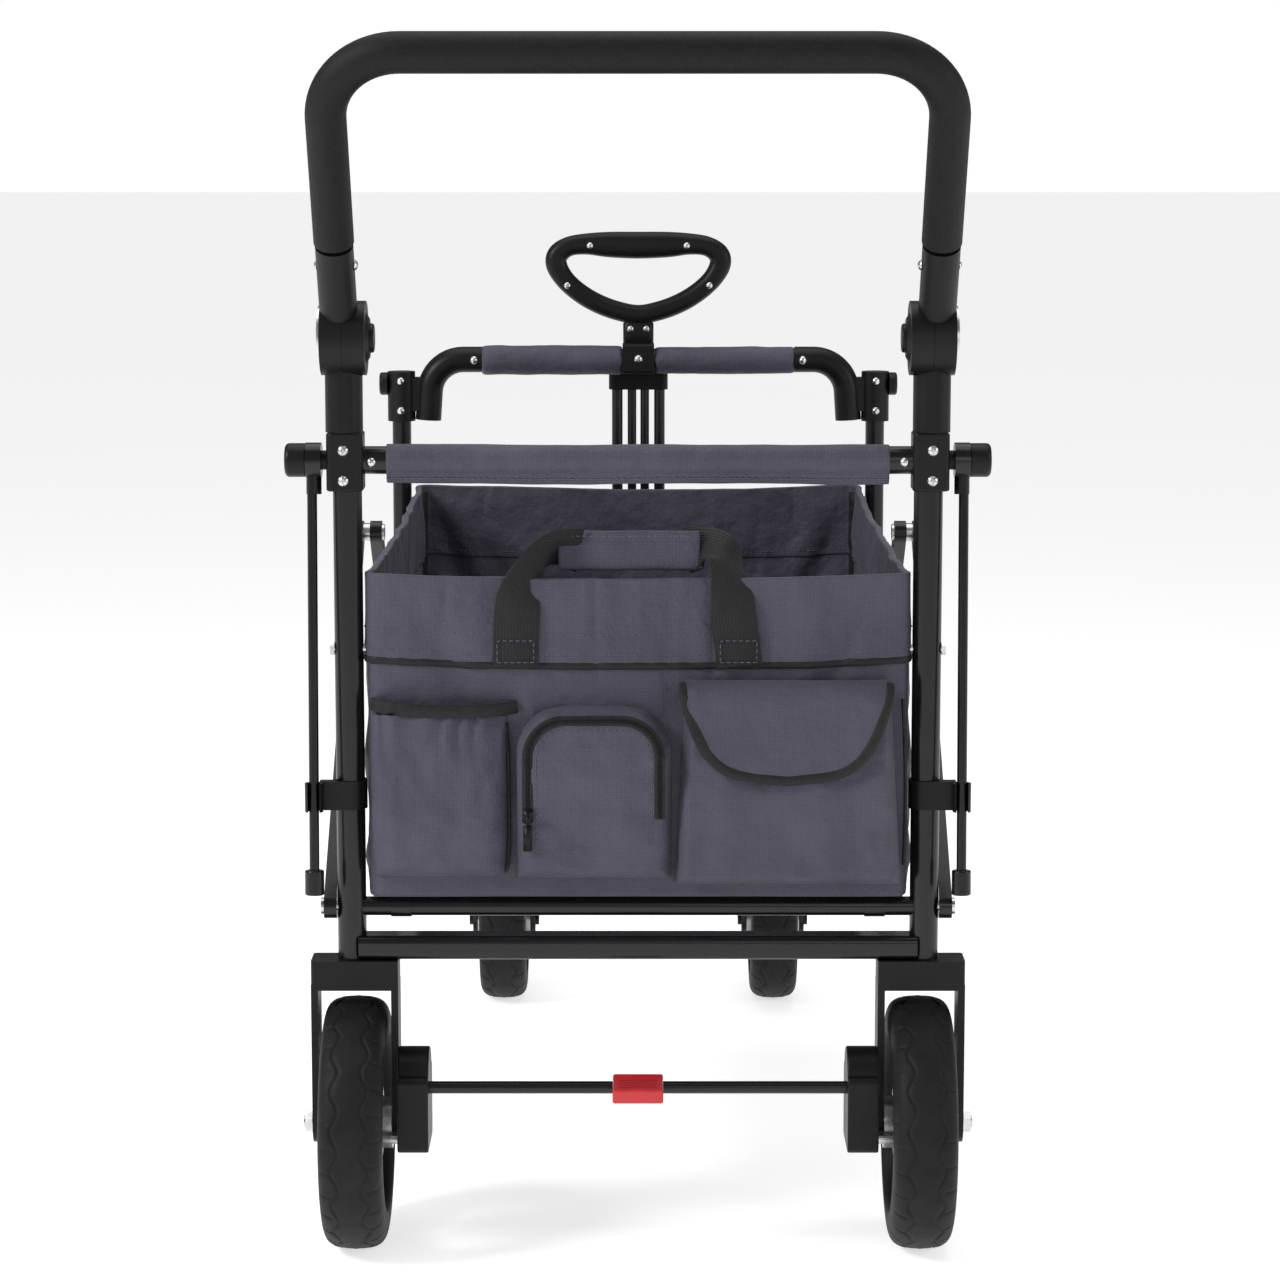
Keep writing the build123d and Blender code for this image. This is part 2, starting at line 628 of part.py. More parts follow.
def top_pivot(s):
    """Rivet through both links, with a washer that keeps them apart."""
    y, z = TOP_PIVOT_Y, TOP_PIVOT_Z
    inner, outer = FRONT_LINK_X0, REAR_LINK_X0 + LINK_T
    pin = along_x(s, inner - 2.5, outer + 2.5, y, z, BOLT_D)
    pin += along_x(s, inner - 2.5, inner - GAP, y, z, 15)
    pin += along_x(s, outer, outer + 2.5, y, z, 15)
    return pin + along_x(s, inner + LINK_T + GAP, REAR_LINK_X0, y, z, 17)


save("rear_side_links", both(
    lambda s: link(s, REAR_LINK_X0, REAR_Y, PIVOT_Z, TOP_PIVOT_Y, TOP_PIVOT_Z, (BOLT_D + RUN, BOLT_D))
))
save("side_link_rivets", both(top_pivot))
save("front_side_links", both(
    lambda s: link(s, FRONT_LINK_X0, TOP_PIVOT_Y, TOP_PIVOT_Z, FOOT_Y, PIVOT_Z, (BOLT_D + RUN, BOLT_D + RUN))
))


# ---------------------------------------------------------------- floor halves
def floor_half(y, direction, x, other_x=None):
    """Two side bars with eyes round the floor rod, and a cross bar between them."""
    end = y + direction * (FLOOR_HALF - 4)
    half_h = FLOOR_BAR_H / 2
    parts = []
    for s in SIDES:
        bar = block((s * (x - FLOOR_BAR_W / 2), s * (x + FLOOR_BAR_W / 2)), (y, end),
                    (PIVOT_Z - half_h, PIVOT_Z + half_h))
        bar = soften(bar, 2, Axis.Y)
        eye = along_x(s, x - FLOOR_BAR_W / 2, x + FLOOR_BAR_W / 2, y, PIVOT_Z, ROD_D + 2)
        bore = along_x(s, x - 20, x + 20, y, PIVOT_Z, ROD_D + RUN)
        parts.append((bar + eye) - bore)
    at = y + direction * FLOOR_CROSS_AT
    inner = x - FLOOR_BAR_W / 2
    bar = tube((-inner, at, PIVOT_Z), (inner, at, PIVOT_Z), 14, 1.5)
    return parts + [bar]


save("rear_floor_frame", floor_half(REAR_Y, 1, FLOOR_BAR_X))
save("front_floor_frame", floor_half(FRONT_Y, -1, FLOOR_BAR_X2))


# ---------------------------------------------------------------- front frame
def front_post(s):
    x = s * FRONT_POST_X
    post = tube((x, FRONT_Y, 240), (x, FRONT_Y, FRONT_TOP - 3), FRONT_POST_D, POST_WALL)
    return post - along_x(s, FRONT_POST_X - 20, FRONT_POST_X + 20, FRONT_Y, BASKET_BOLT_Z, 6)


def front_elbow(s):
    """Curved moulded corner between the front rail and the post."""
    y = FRONT_Y
    points = [(s * FRONT_SLEEVE_HALF, y, FRONT_RAIL_Z), (s * 209, y, FRONT_RAIL_Z), (s * 213, y, 641)]
    arm = swept(points, FRONT_RAIL_D + 4, 34)
    socket = rod((s * FRONT_POST_X, y, 640), (s * FRONT_POST_X, y, FRONT_TOP), FRONT_SOCKET_D)
    web = block((s * 208, s * FRONT_POST_X), (y - 8, y + 8), (650, 684))
    body = arm + web + socket
    body -= rod((s * FRONT_POST_X, y, 600), (s * FRONT_POST_X, y, FRONT_TOP - 3), FRONT_POST_D)
    return body - along_x(s, 0, FRONT_SLEEVE_HALF + 16, y, FRONT_RAIL_Z, FRONT_RAIL_D)


def front_rail():
    end = FRONT_SLEEVE_HALF + 16
    return tube((-end, FRONT_Y, FRONT_RAIL_Z), (end, FRONT_Y, FRONT_RAIL_Z), FRONT_RAIL_D, POST_WALL)


def front_sleeve(s):
    return ring_x(s, CATCH_HALF + 0.5, FRONT_SLEEVE_HALF - 0.5, FRONT_Y, FRONT_RAIL_Z,
                  FRONT_SLEEVE_D, FRONT_RAIL_D)


def front_knob(s):
    x0 = FRONT_POST_X + FRONT_SOCKET_D / 2
    k = along_x(s, x0, x0 + 8, FRONT_Y, 677.5, 23)
    return fillet(k.edges().sort_by(Axis.X)[-1 if s > 0 else 0], 2.5)


def link_tab(s):
    """Tab welded to the front post for the front link's foot."""
    x1 = FRONT_LINK_X0 - 0.5
    x0 = x1 - TAB_T
    tab = block((s * x0, s * x1), (FOOT_Y - 12, FRONT_Y), (PIVOT_Z - 14, PIVOT_Z + 14), 4, Axis.X)
    tab -= rod((s * FRONT_POST_X, FRONT_Y, 200), (s * FRONT_POST_X, FRONT_Y, 400), FRONT_POST_D)
    tab -= rod((s * 200, FRONT_Y, PIVOT_Z), (s * 300, FRONT_Y, PIVOT_Z), ROD_D)
    tab = max(tab.solids(), key=lambda b: b.volume)
    return tab - along_x(s, x0 - 1, x1 + 1, FOOT_Y, PIVOT_Z, BOLT_D)


def front_foot_pin(s):
    x0 = FRONT_LINK_X0 - 0.5 - TAB_T
    x1 = FRONT_LINK_X0 + LINK_T + GAP
    pin = along_x(s, x0, x1 + 2.5, FOOT_Y, PIVOT_Z, BOLT_D)
    return pin + along_x(s, x1, x1 + 2.5, FOOT_Y, PIVOT_Z, 14)


def caster_arm(s):
    """Arm under the front cross tube with the swivel head at its end."""
    x = s * CASTER_X
    z1 = CROSS_Z0 - 0.1
    arm = block((x - 15, x + 15), (FRONT_Y - CROSS_W / 2, CASTER_Y), (z1 - 20, z1), 4, Axis.Y)
    head = rod((x, CASTER_Y, CASTER_CROWN_Z + CASTER_CROWN_T + 0.5), (x, CASTER_Y, z1), 46)
    body = arm + head
    bottom = CASTER_CROWN_Z + CASTER_CROWN_T
    return soften(body, 1.5) - rod((x, CASTER_Y, bottom - 1), (x, CASTER_Y, z1 - 6), STEM_D + RUN)


def pull_ears():
    """Ears on the front cross tube and the pin that the pull handle tips on."""
    y0 = FRONT_Y + CROSS_W / 2
    parts = []
    for s in SIDES:
        ear = block((s * 37, s * 43), (y0, PULL_Y + 11), (PULL_PIVOT_Z - 9, PULL_PIVOT_Z + 12), 4, Axis.X)
        parts.append(ear - along_x(s, 30, 50, PULL_Y, PULL_PIVOT_Z, BOLT_D))
    parts.append(
        rod((-45, PULL_Y, PULL_PIVOT_Z), (45, PULL_Y, PULL_PIVOT_Z), BOLT_D)
        + along_x(1, 43, 46, PULL_Y, PULL_PIVOT_Z, 13)
        + along_x(-1, 43, 46, PULL_Y, PULL_PIVOT_Z, 13)
    )
    return parts


def catch_block():
    """Catch on the front rail that the pull handle leans against."""
    y = FRONT_Y
    body = block((-CATCH_HALF, CATCH_HALF), (y - 13, PULL_Y - 9.5),
                 (FRONT_RAIL_Z - 14, FRONT_RAIL_Z + 16), 3, Axis.X)
    body -= rod((-30, y, FRONT_RAIL_Z), (30, y, FRONT_RAIL_Z), FRONT_RAIL_D)
    return soften(body, 0.8)


def front_screws():
    heads = []
    for s in SIDES:
        for x, z in ((166.0, FRONT_RAIL_Z), (FRONT_POST_X, 681.0), (FRONT_POST_X, 651.0)):
            r = (FRONT_RAIL_D + 4) / 2 if x < 200 else FRONT_SOCKET_D / 2
            at = (s * x, FRONT_Y - r + 0.5, z)
            body = (along_x(s, 150, 200, FRONT_Y, FRONT_RAIL_Z, FRONT_RAIL_D + 4) if x < 200
                    else rod((s * x, FRONT_Y, 600), (s * x, FRONT_Y, 700), FRONT_SOCKET_D))
            heads.append(dome(at, (0, -1, 0), 8, 2.6) - body)
    heads.append(screw((0, FRONT_Y - 13, FRONT_RAIL_Z + 1), (0, -1, 0), 8, 2))
    return heads


save("front_post_tubes", both(front_post), both(link_tab))
save("front_cross_tubes", cross_tube(FRONT_Y, FRONT_POST_X, FRONT_POST_D),
     floor_rod(FRONT_Y, FRONT_POST_X, FRONT_POST_D), front_rail())
save("front_rail_elbows", both(front_elbow), both(front_knob))
save("front_rail_sleeve", both(front_sleeve))
save("caster_arms", both(caster_arm))
save("pull_handle_pivot", pull_ears())
save("pull_handle_catch", catch_block())
save("front_frame_fasteners", both(front_foot_pin), front_screws(),
     both(lambda s: basket_bolt(s, FRONT_Y, FRONT_POST_X, FRONT_POST_D)))


# ---------------------------------------------------------------- casters
def caster_fork(s):
    """Swivelling fork of a front wheel, with its stem."""
    x, out = s * CASTER_X, CASTER_GAP / 2 + CASTER_PLATE
    top = CASTER_CROWN_Z + CASTER_CROWN_T
    body = block((x - out, x + out), (CASTER_Y - 24, CASTER_Y + 26), (CASTER_CROWN_Z, top), 10)
    outline = Polygon(
        (CASTER_Y - 22, CASTER_CROWN_Z + 2),
        (CASTER_Y - 18, CASTER_CROWN_Z - 46),
        (FRONT_AXLE_Y - 15, FRONT_WHEEL_R - 3),
        (FRONT_AXLE_Y + 15, FRONT_WHEEL_R + 3),
        (CASTER_Y + 24, CASTER_CROWN_Z + 2),
        align=None,
    )
    outline += Pos(FRONT_AXLE_Y, FRONT_WHEEL_R) * Circle(16)
    outline -= Pos(FRONT_AXLE_Y, FRONT_WHEEL_R) * Circle(4)
    for x0 in (x - out, x + CASTER_GAP / 2):
        side_plane = Plane((x0, 0, 0), x_dir=(0, 1, 0), z_dir=(1, 0, 0))
        body += extrude(side_plane * outline, CASTER_PLATE)
    return body + rod((x, CASTER_Y, top - 4), (x, CASTER_Y, CROSS_Z0 - 8), STEM_D)


def caster_axle(s):
    x, out = s * CASTER_X, CASTER_GAP / 2 + CASTER_PLATE
    y, z = FRONT_AXLE_Y, FRONT_WHEEL_R
    return (
        rod((x - out - 3, y, z), (x + out + 3, y, z), 8)
        + rod((x - out - 4, y, z), (x - out, y, z), 15)
        + rod((x + out, y, z), (x + out + 4, y, z), 15)
    )


def lock_bracket(s):
    """Bracket on the fork's inner leg for the red lock lever."""
    x1 = CASTER_X - CASTER_GAP / 2 - CASTER_PLATE
    x0 = x1 - 15
    y, z = CASTER_Y + 2, 136.0
    body = block((s * (x1 - 4), s * x1), (y - 12, y + 14), (z - 12, z + 12), 3, Axis.X)
    body += along_x(s, x0, x1 - 2, y, z, 8)
    return body


def lock_lever(s):
    x1 = CASTER_X - CASTER_GAP / 2 - CASTER_PLATE - 4.5
    x0 = x1 - 11
    y, z = CASTER_Y + 2, 136.0
    body = along_x(s, x0, x1, y, z, 17)
    body += block((s * x0, s * x1), (y - 36, y), (z - 8, z - 1))
    body = soften(body, 1.2)
    return body - along_x(s, x0 - 1, x1 + 1, y, z, 8 + RUN)


for side in SIDES:
    n = NAMES[side]
    save(f"caster_fork_{n}", caster_fork(side), lock_bracket(side), caster_axle(side))
    save(f"caster_lock_lever_{n}", lock_lever(side))


# ---------------------------------------------------------------- pull handle
def pull_frame():
    """Side tubes with their foot block."""
    foot = block((-35, 35), (PULL_Y - 9, PULL_Y + 9), (PULL_PIVOT_Z, PULL_PIVOT_Z + 30))
    foot += rod((-35, PULL_Y, PULL_PIVOT_Z), (35, PULL_Y, PULL_PIVOT_Z), 18)
    foot = soften(foot, 1)
    foot -= rod((-40, PULL_Y, PULL_PIVOT_Z), (40, PULL_Y, PULL_PIVOT_Z), BOLT_D + RUN)
    tubes = []
    for s in SIDES:
        x = s * PULL_SIDE_X
        a, b = (x, PULL_Y, PULL_PIVOT_Z + 12), (x, PULL_Y, FLANGE_Z1 - 5)
        foot -= rod(a, b, PULL_TUBE_D)
        tubes.append(tube(a, b, PULL_TUBE_D, 1.5))
    return foot, tubes


def pull_flange():
    body = block((-30, 30), (PULL_Y - 9, PULL_Y + 9), (FLANGE_Z0, FLANGE_Z1), 6)
    body = soften(body, 1)
    for s in SIDES:
        x = s * PULL_SIDE_X
        body -= rod((x, PULL_Y, 600), (x, PULL_Y, FLANGE_Z1 - 5), PULL_TUBE_D)
        x = s * PULL_ROD_X
        body -= rod((x, PULL_Y, 600), (x, PULL_Y, 760), PULL_ROD_D + RUN)
    return body


def pull_rods():
    bars = []
    for s in SIDES:
        x = s * PULL_ROD_X
        bars.append(rod((x, PULL_Y, PULL_PIVOT_Z + 42), (x, PULL_Y, GRIP_Z0 + 8), PULL_ROD_D))
    return bars


def pull_grip():
    """D-shaped grip with its neck."""
    y = PULL_Y
    z0, z1 = GRIP_Z0, GRIP_Z1
    half, hole = GRIP_HALF, GRIP_HALF - GRIP_SIDE
    outer = [(half * 0.3, z0), (half - 26, z0 + 22), (half, z0 + 48), (half, z1 - 12), (half - 16, z1)]
    inner = [(14, z0 + 19), (hole - 24, z0 + 30), (hole, z0 + 54), (hole, z1 - GRIP_TOP)]
    outer, inner = (
        make_face(Plane.XZ * Polyline(*right, *[(-x, z) for x, z in reversed(right)], right[0]))
        for right in (outer, inner)
    )
    face = fillet(outer.vertices(), 9) - fillet(inner.vertices(), 5)
    body = Pos(0, y + 12, 0) * extrude(face, 24)
    body = soften(body, 2.5)
    body += block((-16, 16), (y - 9, y + 9), (z0 - 27, z0 + 6), 3)
    for s in SIDES:
        x = s * PULL_ROD_X
        body -= rod((x, y, z0 - 60), (x, y, z0 + 8), PULL_ROD_D)
    return body


def pull_screws():
    y = PULL_Y
    spots = [(x, y - 9, GRIP_Z0 - 6) for x in (-8, 8)]
    spots += [(x, y - 12, GRIP_Z1 - 14) for x in (-49, 49)]
    spots += [(x, y - 12, GRIP_Z0 + 38) for x in (-72, 72)]
    return [screw(at, (0, -1, 0), 6.5, 1.6) for at in spots]


foot, tubes = pull_frame()
save("pull_handle_tubes", tubes)
save("pull_handle_guides", foot, pull_flange())
save("pull_handle_rods", pull_rods())
save("pull_handle_grip", pull_grip())
save("pull_grip_screws", pull_screws())


# ---------------------------------------------------------------- fabric
def basket():
    """Open fabric box with a folded hem round its rim."""
    y0, y1 = REAR_Y + BASKET_REAR, FRONT_Y + BASKET_FRONT
    w, h = BASKET_WALL, BASKET_HALF
    body = block((-h, h), (y0, y1), (BASKET_Z0, BASKET_RIM), 8)
    body -= block((-h + w, h - w), (y0 + w, y1 - w), (BASKET_Z0 + w, BASKET_RIM + 5), 1)
    for s in SIDES:
        for y in (REAR_Y, FRONT_Y):
            body -= along_x(s, 200, 240, y, BASKET_BOLT_Z, 7)
    return body


def mat():
    inset = BASKET_WALL + 4
    y0, y1 = REAR_Y + BASKET_REAR + inset, FRONT_Y + BASKET_FRONT - inset
    z0 = BASKET_Z0 + BASKET_WALL
    x = BASKET_HALF - inset
    return block((-x, x), (y0, y1), (z0, z0 + MAT_T), 10)


def rear_sleeve():
    """Fabric wrapped round the rear crossbar, with its hem hanging under it."""
    body = rod((-SLEEVE_HALF, REAR_Y, CROSSBAR_Z), (SLEEVE_HALF, REAR_Y, CROSSBAR_Z), CROSSBAR_D + 3)
    body += block((-SLEEVE_HALF, SLEEVE_HALF), (REAR_Y - 2, REAR_Y + 2),
                  (CONNECTOR_Z0 + 2, CROSSBAR_Z))
    return body - rod((-230, REAR_Y, CROSSBAR_Z), (230, REAR_Y, CROSSBAR_Z), CROSSBAR_D)


PANEL_Y = REAR_Y + BASKET_REAR - 0.2


def open_pocket():
    """Elastic-topped pocket, open at the top."""
    x, z = (-221, -110), (322, 452)
    body = block(x, (PANEL_Y - 22, PANEL_Y), z, 8)
    return body - block((x[0] + 2.5, x[1] - 2.5), (PANEL_Y - 19.5, PANEL_Y - 2.5), (z[0] + 2.5, z[1] + 5), 6)


def zip_pocket():
    """Pocket with an arched top, closed by a zip round the arch."""
    x0, x1, z0, z1, r = -102.0, 28.0, 319.0, 464.0, 38.0
    face = make_face(Plane.XZ * Polyline((x0, z0), (x1, z0), (x1, z1), (x0, z1), (x0, z0)))
    face = fillet(face.vertices().filter_by(lambda v: v.Z > z0 + 50), r)
    return Pos(0, PANEL_Y, 0) * extrude(face, 26)


def flap_pocket():
    """Pocket that widens downwards, under a curved flap."""
    z0, z1 = 313.0, 478.0
    face = make_face(Plane.XZ * Polyline((31, z0), (221, z0), (207, z1), (40, z1), (31, z0)))
    body = Pos(0, PANEL_Y, 0) * extrude(face, 27)
    flap = make_face(Plane.XZ * (
        Line((38, 486), (209, 486)) + Line((209, 486), (209, 425))
        + ThreePointArc((209, 425), (112, 402), (38, 428)) + Line((38, 428), (38, 486))
    ))
    return [body, Pos(0, PANEL_Y - 27.2, 0) * extrude(flap, 3)]


def carry_handle():
    """Webbing straps over the basket's rim, joined by a wrapped grip."""
    parts = []
    y0 = PANEL_Y
    for x in (-99.0, 76.0):
        out = block((x - 19, x + 19), (y0 - 2, y0), (503, BASKET_RIM + 2.2))
        top = block((x - 19, x + 19), (y0 - 2, y0 + 34), (BASKET_RIM + 0.2, BASKET_RIM + 2.2))
        parts.append(out + top)
    grip = rod((-122, y0 + 20, BASKET_RIM + 14.2), (99, y0 + 20, BASKET_RIM + 14.2), 24)
    parts.append(grip)
    return parts


save("basket_fabric", basket())
save("basket_mat", mat())
save("rear_crossbar_sleeve", rear_sleeve())
save("pocket_elastic", open_pocket())
save("pocket_zip", zip_pocket())
save("pocket_flap", flap_pocket())
save("carry_handle", carry_handle())
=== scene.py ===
"""Looks of the folding pull wagon: materials, fabric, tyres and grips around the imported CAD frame."""

import json
import math

import bmesh
import bpy
import numpy as np
from mathutils import Matrix, Vector, noise


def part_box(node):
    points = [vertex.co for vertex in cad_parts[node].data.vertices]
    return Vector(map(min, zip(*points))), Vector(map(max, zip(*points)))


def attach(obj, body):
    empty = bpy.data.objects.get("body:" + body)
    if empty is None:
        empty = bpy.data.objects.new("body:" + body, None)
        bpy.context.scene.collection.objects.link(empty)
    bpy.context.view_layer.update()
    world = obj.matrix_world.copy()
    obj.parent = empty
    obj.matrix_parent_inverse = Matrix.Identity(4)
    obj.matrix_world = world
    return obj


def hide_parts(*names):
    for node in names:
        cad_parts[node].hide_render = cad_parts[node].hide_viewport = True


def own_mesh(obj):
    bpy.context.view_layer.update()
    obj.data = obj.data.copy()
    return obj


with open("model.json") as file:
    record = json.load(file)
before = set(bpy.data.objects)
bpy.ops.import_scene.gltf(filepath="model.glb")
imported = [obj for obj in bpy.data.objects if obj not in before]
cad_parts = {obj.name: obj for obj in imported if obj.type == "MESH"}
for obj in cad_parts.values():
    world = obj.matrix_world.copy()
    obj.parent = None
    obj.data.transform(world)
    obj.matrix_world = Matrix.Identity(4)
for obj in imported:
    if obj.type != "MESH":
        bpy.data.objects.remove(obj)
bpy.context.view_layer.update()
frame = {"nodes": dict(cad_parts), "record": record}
nodes = frame["nodes"]
MM = 0.001

# ------------------------------------------------------------------ places taken from the frame
posts_lo, posts_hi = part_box("rear_post_tubes")
REAR_Y = (posts_lo.y + posts_hi.y) / 2
BASKET_LO, BASKET_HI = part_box("basket_fabric")
PANEL_Y = BASKET_LO.y
RIM_Z = BASKET_HI.z
HEM_DEPTH = 72 * MM
HEM_Z = RIM_Z - HEM_DEPTH
OUTWARD = Vector((0, -1, 0))  # out of the rear panel


# ------------------------------------------------------------------ node material helpers
class Mat:
    """A Principled material and short calls that add nodes to it."""

    def __init__(self, name, color, rough, metallic=0.0, **sockets):
        self.m = bpy.data.materials.new(name)
        self.m.use_nodes = True
        self.t = self.m.node_tree
        self.b = self.t.nodes["Principled BSDF"]
        self.b.inputs["Base Color"].default_value = (*color, 1)
        self.b.inputs["Roughness"].default_value = rough
        self.b.inputs["Metallic"].default_value = metallic
        for key, value in sockets.items():
            self.b.inputs[key.replace("_", " ")].default_value = value
        self.height = None

    def node(self, kind, **props):
        n = self.t.nodes.new(kind)
        for k, v in props.items():
            setattr(n, k, v)
        return n

    def link(self, a, b):
        self.t.links.new(a, b)

    def coords(self, which="Object"):
        return self.node("ShaderNodeTexCoord").outputs[which]

    def noise(self, scale, detail=3, rough=0.55, vector=None):
        n = self.node("ShaderNodeTexNoise")
        n.inputs["Scale"].default_value = scale
        n.inputs["Detail"].default_value = detail
        n.inputs["Roughness"].default_value = rough
        self.link(vector or self.coords(), n.inputs["Vector"])
        return n.outputs["Fac"]

    def wave(self, vector, scale, direction):
        n = self.node("ShaderNodeTexWave", wave_type="BANDS", bands_direction=direction)
        n.inputs["Scale"].default_value = scale
        self.link(vector, n.inputs["Vector"])
        return n.outputs["Fac"]

    def math(self, op, a, b):
        n = self.node("ShaderNodeMath", operation=op)
        for i, v in enumerate((a, b)):
            if isinstance(v, (int, float)):
                n.inputs[i].default_value = v
            else:
                self.link(v, n.inputs[i])
        return n.outputs[0]

    def ramp(self, fac, stops):
        n = self.node("ShaderNodeValToRGB")
        while len(n.color_ramp.elements) < len(stops):
            n.color_ramp.elements.new(0.5)
        for e, (pos, col) in zip(n.color_ramp.elements, stops):
            e.position = pos
            e.color = (*col, 1) if len(col) == 3 else col
        self.link(fac, n.inputs["Fac"])
        return n.outputs["Color"]

    def span(self, fac, lo, hi):
        n = self.node("ShaderNodeMapRange")
        n.inputs["To Min"].default_value = lo
        n.inputs["To Max"].default_value = hi
        self.link(fac, n.inputs["Value"])
        return n.outputs["Result"]

    def color(self, socket):
        self.link(socket, self.b.inputs["Base Color"])
        return self

    def rough(self, fac, lo, hi):
        self.link(self.span(fac, lo, hi), self.b.inputs["Roughness"])
        return self

    def bump(self, height, strength, distance):
        n = self.node("ShaderNodeBump")
        n.inputs["Strength"].default_value = strength
        n.inputs["Distance"].default_value = distance
        self.link(height, n.inputs["Height"])
        if self.height:
            self.link(self.height, n.inputs["Normal"])
        self.height = n.outputs["Normal"]
        self.link(self.height, self.b.inputs["Normal"])
        return self


def shade(color, k):
    return tuple(min(1.0, c * k) for c in color)


def solid(name, color, rough, worn, tones, grain, metallic=0.0, **sockets):
    """Paint, plastic, metal or rubber, each with three noises given by their scale and detail first: worn for
    the roughness (low, high), tones for the colour (stops), and grain for the bump (strength, distance)."""
    m = Mat(name, color, rough, metallic, **sockets)
    m.rough(m.noise(*worn[:2]), *worn[2:])
    m.color(m.ramp(m.noise(*tones[:2]), tones[2:]))
    return m.bump(m.noise(*grain[:2]), *grain[2:]).m


def woven(name, color, pitch, contrast=0.35, rough=0.62, depth=0.5):
    """Plain weave on metric UVs, with yarn shading, creases and slight soiling."""
    m = Mat(name, color, rough, Sheen_Weight=0.08, Sheen_Roughness=0.5, Specular_IOR_Level=0.35)
    uv = m.coords("UV")
    bands = 0.16 / pitch
    thread = m.math("MULTIPLY", m.wave(uv, bands, "X"), m.wave(uv, bands, "Y"))
    yarn = m.noise(0.5 / pitch, 2, vector=uv)
    mixed = m.math("ADD", m.math("MULTIPLY", thread, 0.7), m.math("MULTIPLY", yarn, 0.5))
    patch = m.noise(9, 5)
    lo, hi = shade(color, 1 - contrast), shade(color, 1 + contrast)
    fine = m.ramp(mixed, [(0.15, lo), (0.85, hi)])
    broad = m.ramp(patch, [(0.3, (0.84, 0.84, 0.86)), (0.7, (1.14, 1.14, 1.12))])
    mix = m.node("ShaderNodeMix", data_type="RGBA", blend_type="MULTIPLY")
    mix.inputs["Factor"].default_value = 1.0
    m.link(fine, mix.inputs["A"])
    m.link(broad, mix.inputs["B"])
    m.color(mix.outputs["Result"])
    m.rough(patch, rough - 0.08, rough + 0.08)
    m.bump(m.noise(17, 4), 0.8, 0.012)
    return m.bump(mixed, depth, pitch * 0.35).m


def webbing():
    """Polypropylene webbing: ribs along its length and a herringbone across."""
    m = Mat("black_webbing", (0.008, 0.008, 0.009), 0.6, Sheen_Weight=0.1, Specular_IOR_Level=0.3)
    uv = m.coords("UV")
    ribs = m.wave(uv, 120, "X")
    picks = m.wave(uv, 200, "DIAGONAL")
    mixed = m.math("ADD", m.math("MULTIPLY", ribs, 0.6), m.math("MULTIPLY", picks, 0.4))
    m.color(m.ramp(mixed, [(0.1, (0.003, 0.003, 0.004)), (0.9, (0.014, 0.014, 0.016))]))
    m.rough(m.noise(80, 3), 0.5, 0.7)
    return m.bump(mixed, 0.8, 0.0006).m


SLATE = (0.066, 0.064, 0.093)
# gloss powder coat with its fine orange peel
M_PAINT = solid("black_powder_coat", (0.004, 0.004, 0.005), 0.22, (55, 2, 0.19, 0.32),
                (14, 3, (0.3, (0.003, 0.003, 0.004)), (0.7, (0.005, 0.005, 0.006))), (900, 2, 0.10, 0.0004),
                Coat_Weight=0.1, Coat_Roughness=0.08, Specular_IOR_Level=0.35)
# moulded nylon with a fine spark-eroded grain
M_PLASTIC = solid("black_moulded_plastic", (0.006, 0.006, 0.007), 0.4, (40, 3, 0.34, 0.46),
                  (22, 4, (0.3, (0.004, 0.004, 0.005)), (0.75, (0.008, 0.008, 0.009))),
                  (1500, 2, 0.22, 0.0004), Specular_IOR_Level=0.22)
M_STEEL = solid("zinc_steel", (0.62, 0.62, 0.63), 0.28, (180, 3, 0.2, 0.38),
                (60, 4, (0.3, (0.52, 0.52, 0.54)), (0.7, (0.70, 0.70, 0.70))), (700, 2, 0.08, 0.0003), 1.0)
M_RED = solid("red_plastic", (0.56, 0.012, 0.016), 0.33, (60, 3, 0.27, 0.42),
              (30, 3, (0.3, (0.50, 0.010, 0.014)), (0.7, (0.62, 0.016, 0.020))), (1200, 2, 0.15, 0.0003),
              Coat_Weight=0.2)
M_TYRE = solid("tyre_rubber", (0.008, 0.008, 0.009), 0.6, (90, 4, 0.5, 0.7),
               (35, 5, (0.3, (0.006, 0.006, 0.007)), (0.72, (0.012, 0.012, 0.013))), (1300, 3, 0.3, 0.0005),
               Specular_IOR_Level=0.22)
M_RIM = solid("rim_silver_paint", (0.55, 0.55, 0.57), 0.3, (120, 3, 0.22, 0.36),
              (400, 2, (0.3, (0.47, 0.47, 0.49)), (0.7, (0.60, 0.60, 0.62))), (1000, 2, 0.08, 0.0003), 0.85)
# closed-cell foam with its pores
M_FOAM = solid("grip_foam", (0.006, 0.006, 0.007), 0.5, (260, 4, 0.46, 0.66),
               (500, 3, (0.3, (0.004, 0.004, 0.005)), (0.7, (0.009, 0.009, 0.010))), (1700, 4, 0.45, 0.0006),
               Specular_IOR_Level=0.22)
M_FABRIC = woven("slate_oxford", SLATE, 0.9 * MM)
M_MAT = woven("mat_cover", shade(SLATE, 0.55), 1.1 * MM)
M_BINDING = woven("black_binding", (0.006, 0.006, 0.007), 0.7 * MM, 0.5, 0.6, 0.7)
M_WEB = webbing()
M_THREAD = woven("slate_thread", shade(SLATE, 1.7), 0.4 * MM, 0.2)

CAD_LOOKS = {
    "black_paint": M_PAINT, "black_plastic": M_PLASTIC, "steel": M_STEEL, "strut_paint": M_PAINT,
    "red_plastic": M_RED, "rubber_tyre": M_TYRE, "rim_plastic": M_RIM, "foam": M_FOAM,
    "blue_fabric": M_FABRIC, "floor_fabric": M_MAT, "webbing": M_WEB,
}
SLOT_OF = {s["node"]: s["material_slot"] for s in frame["record"]["subparts"]}


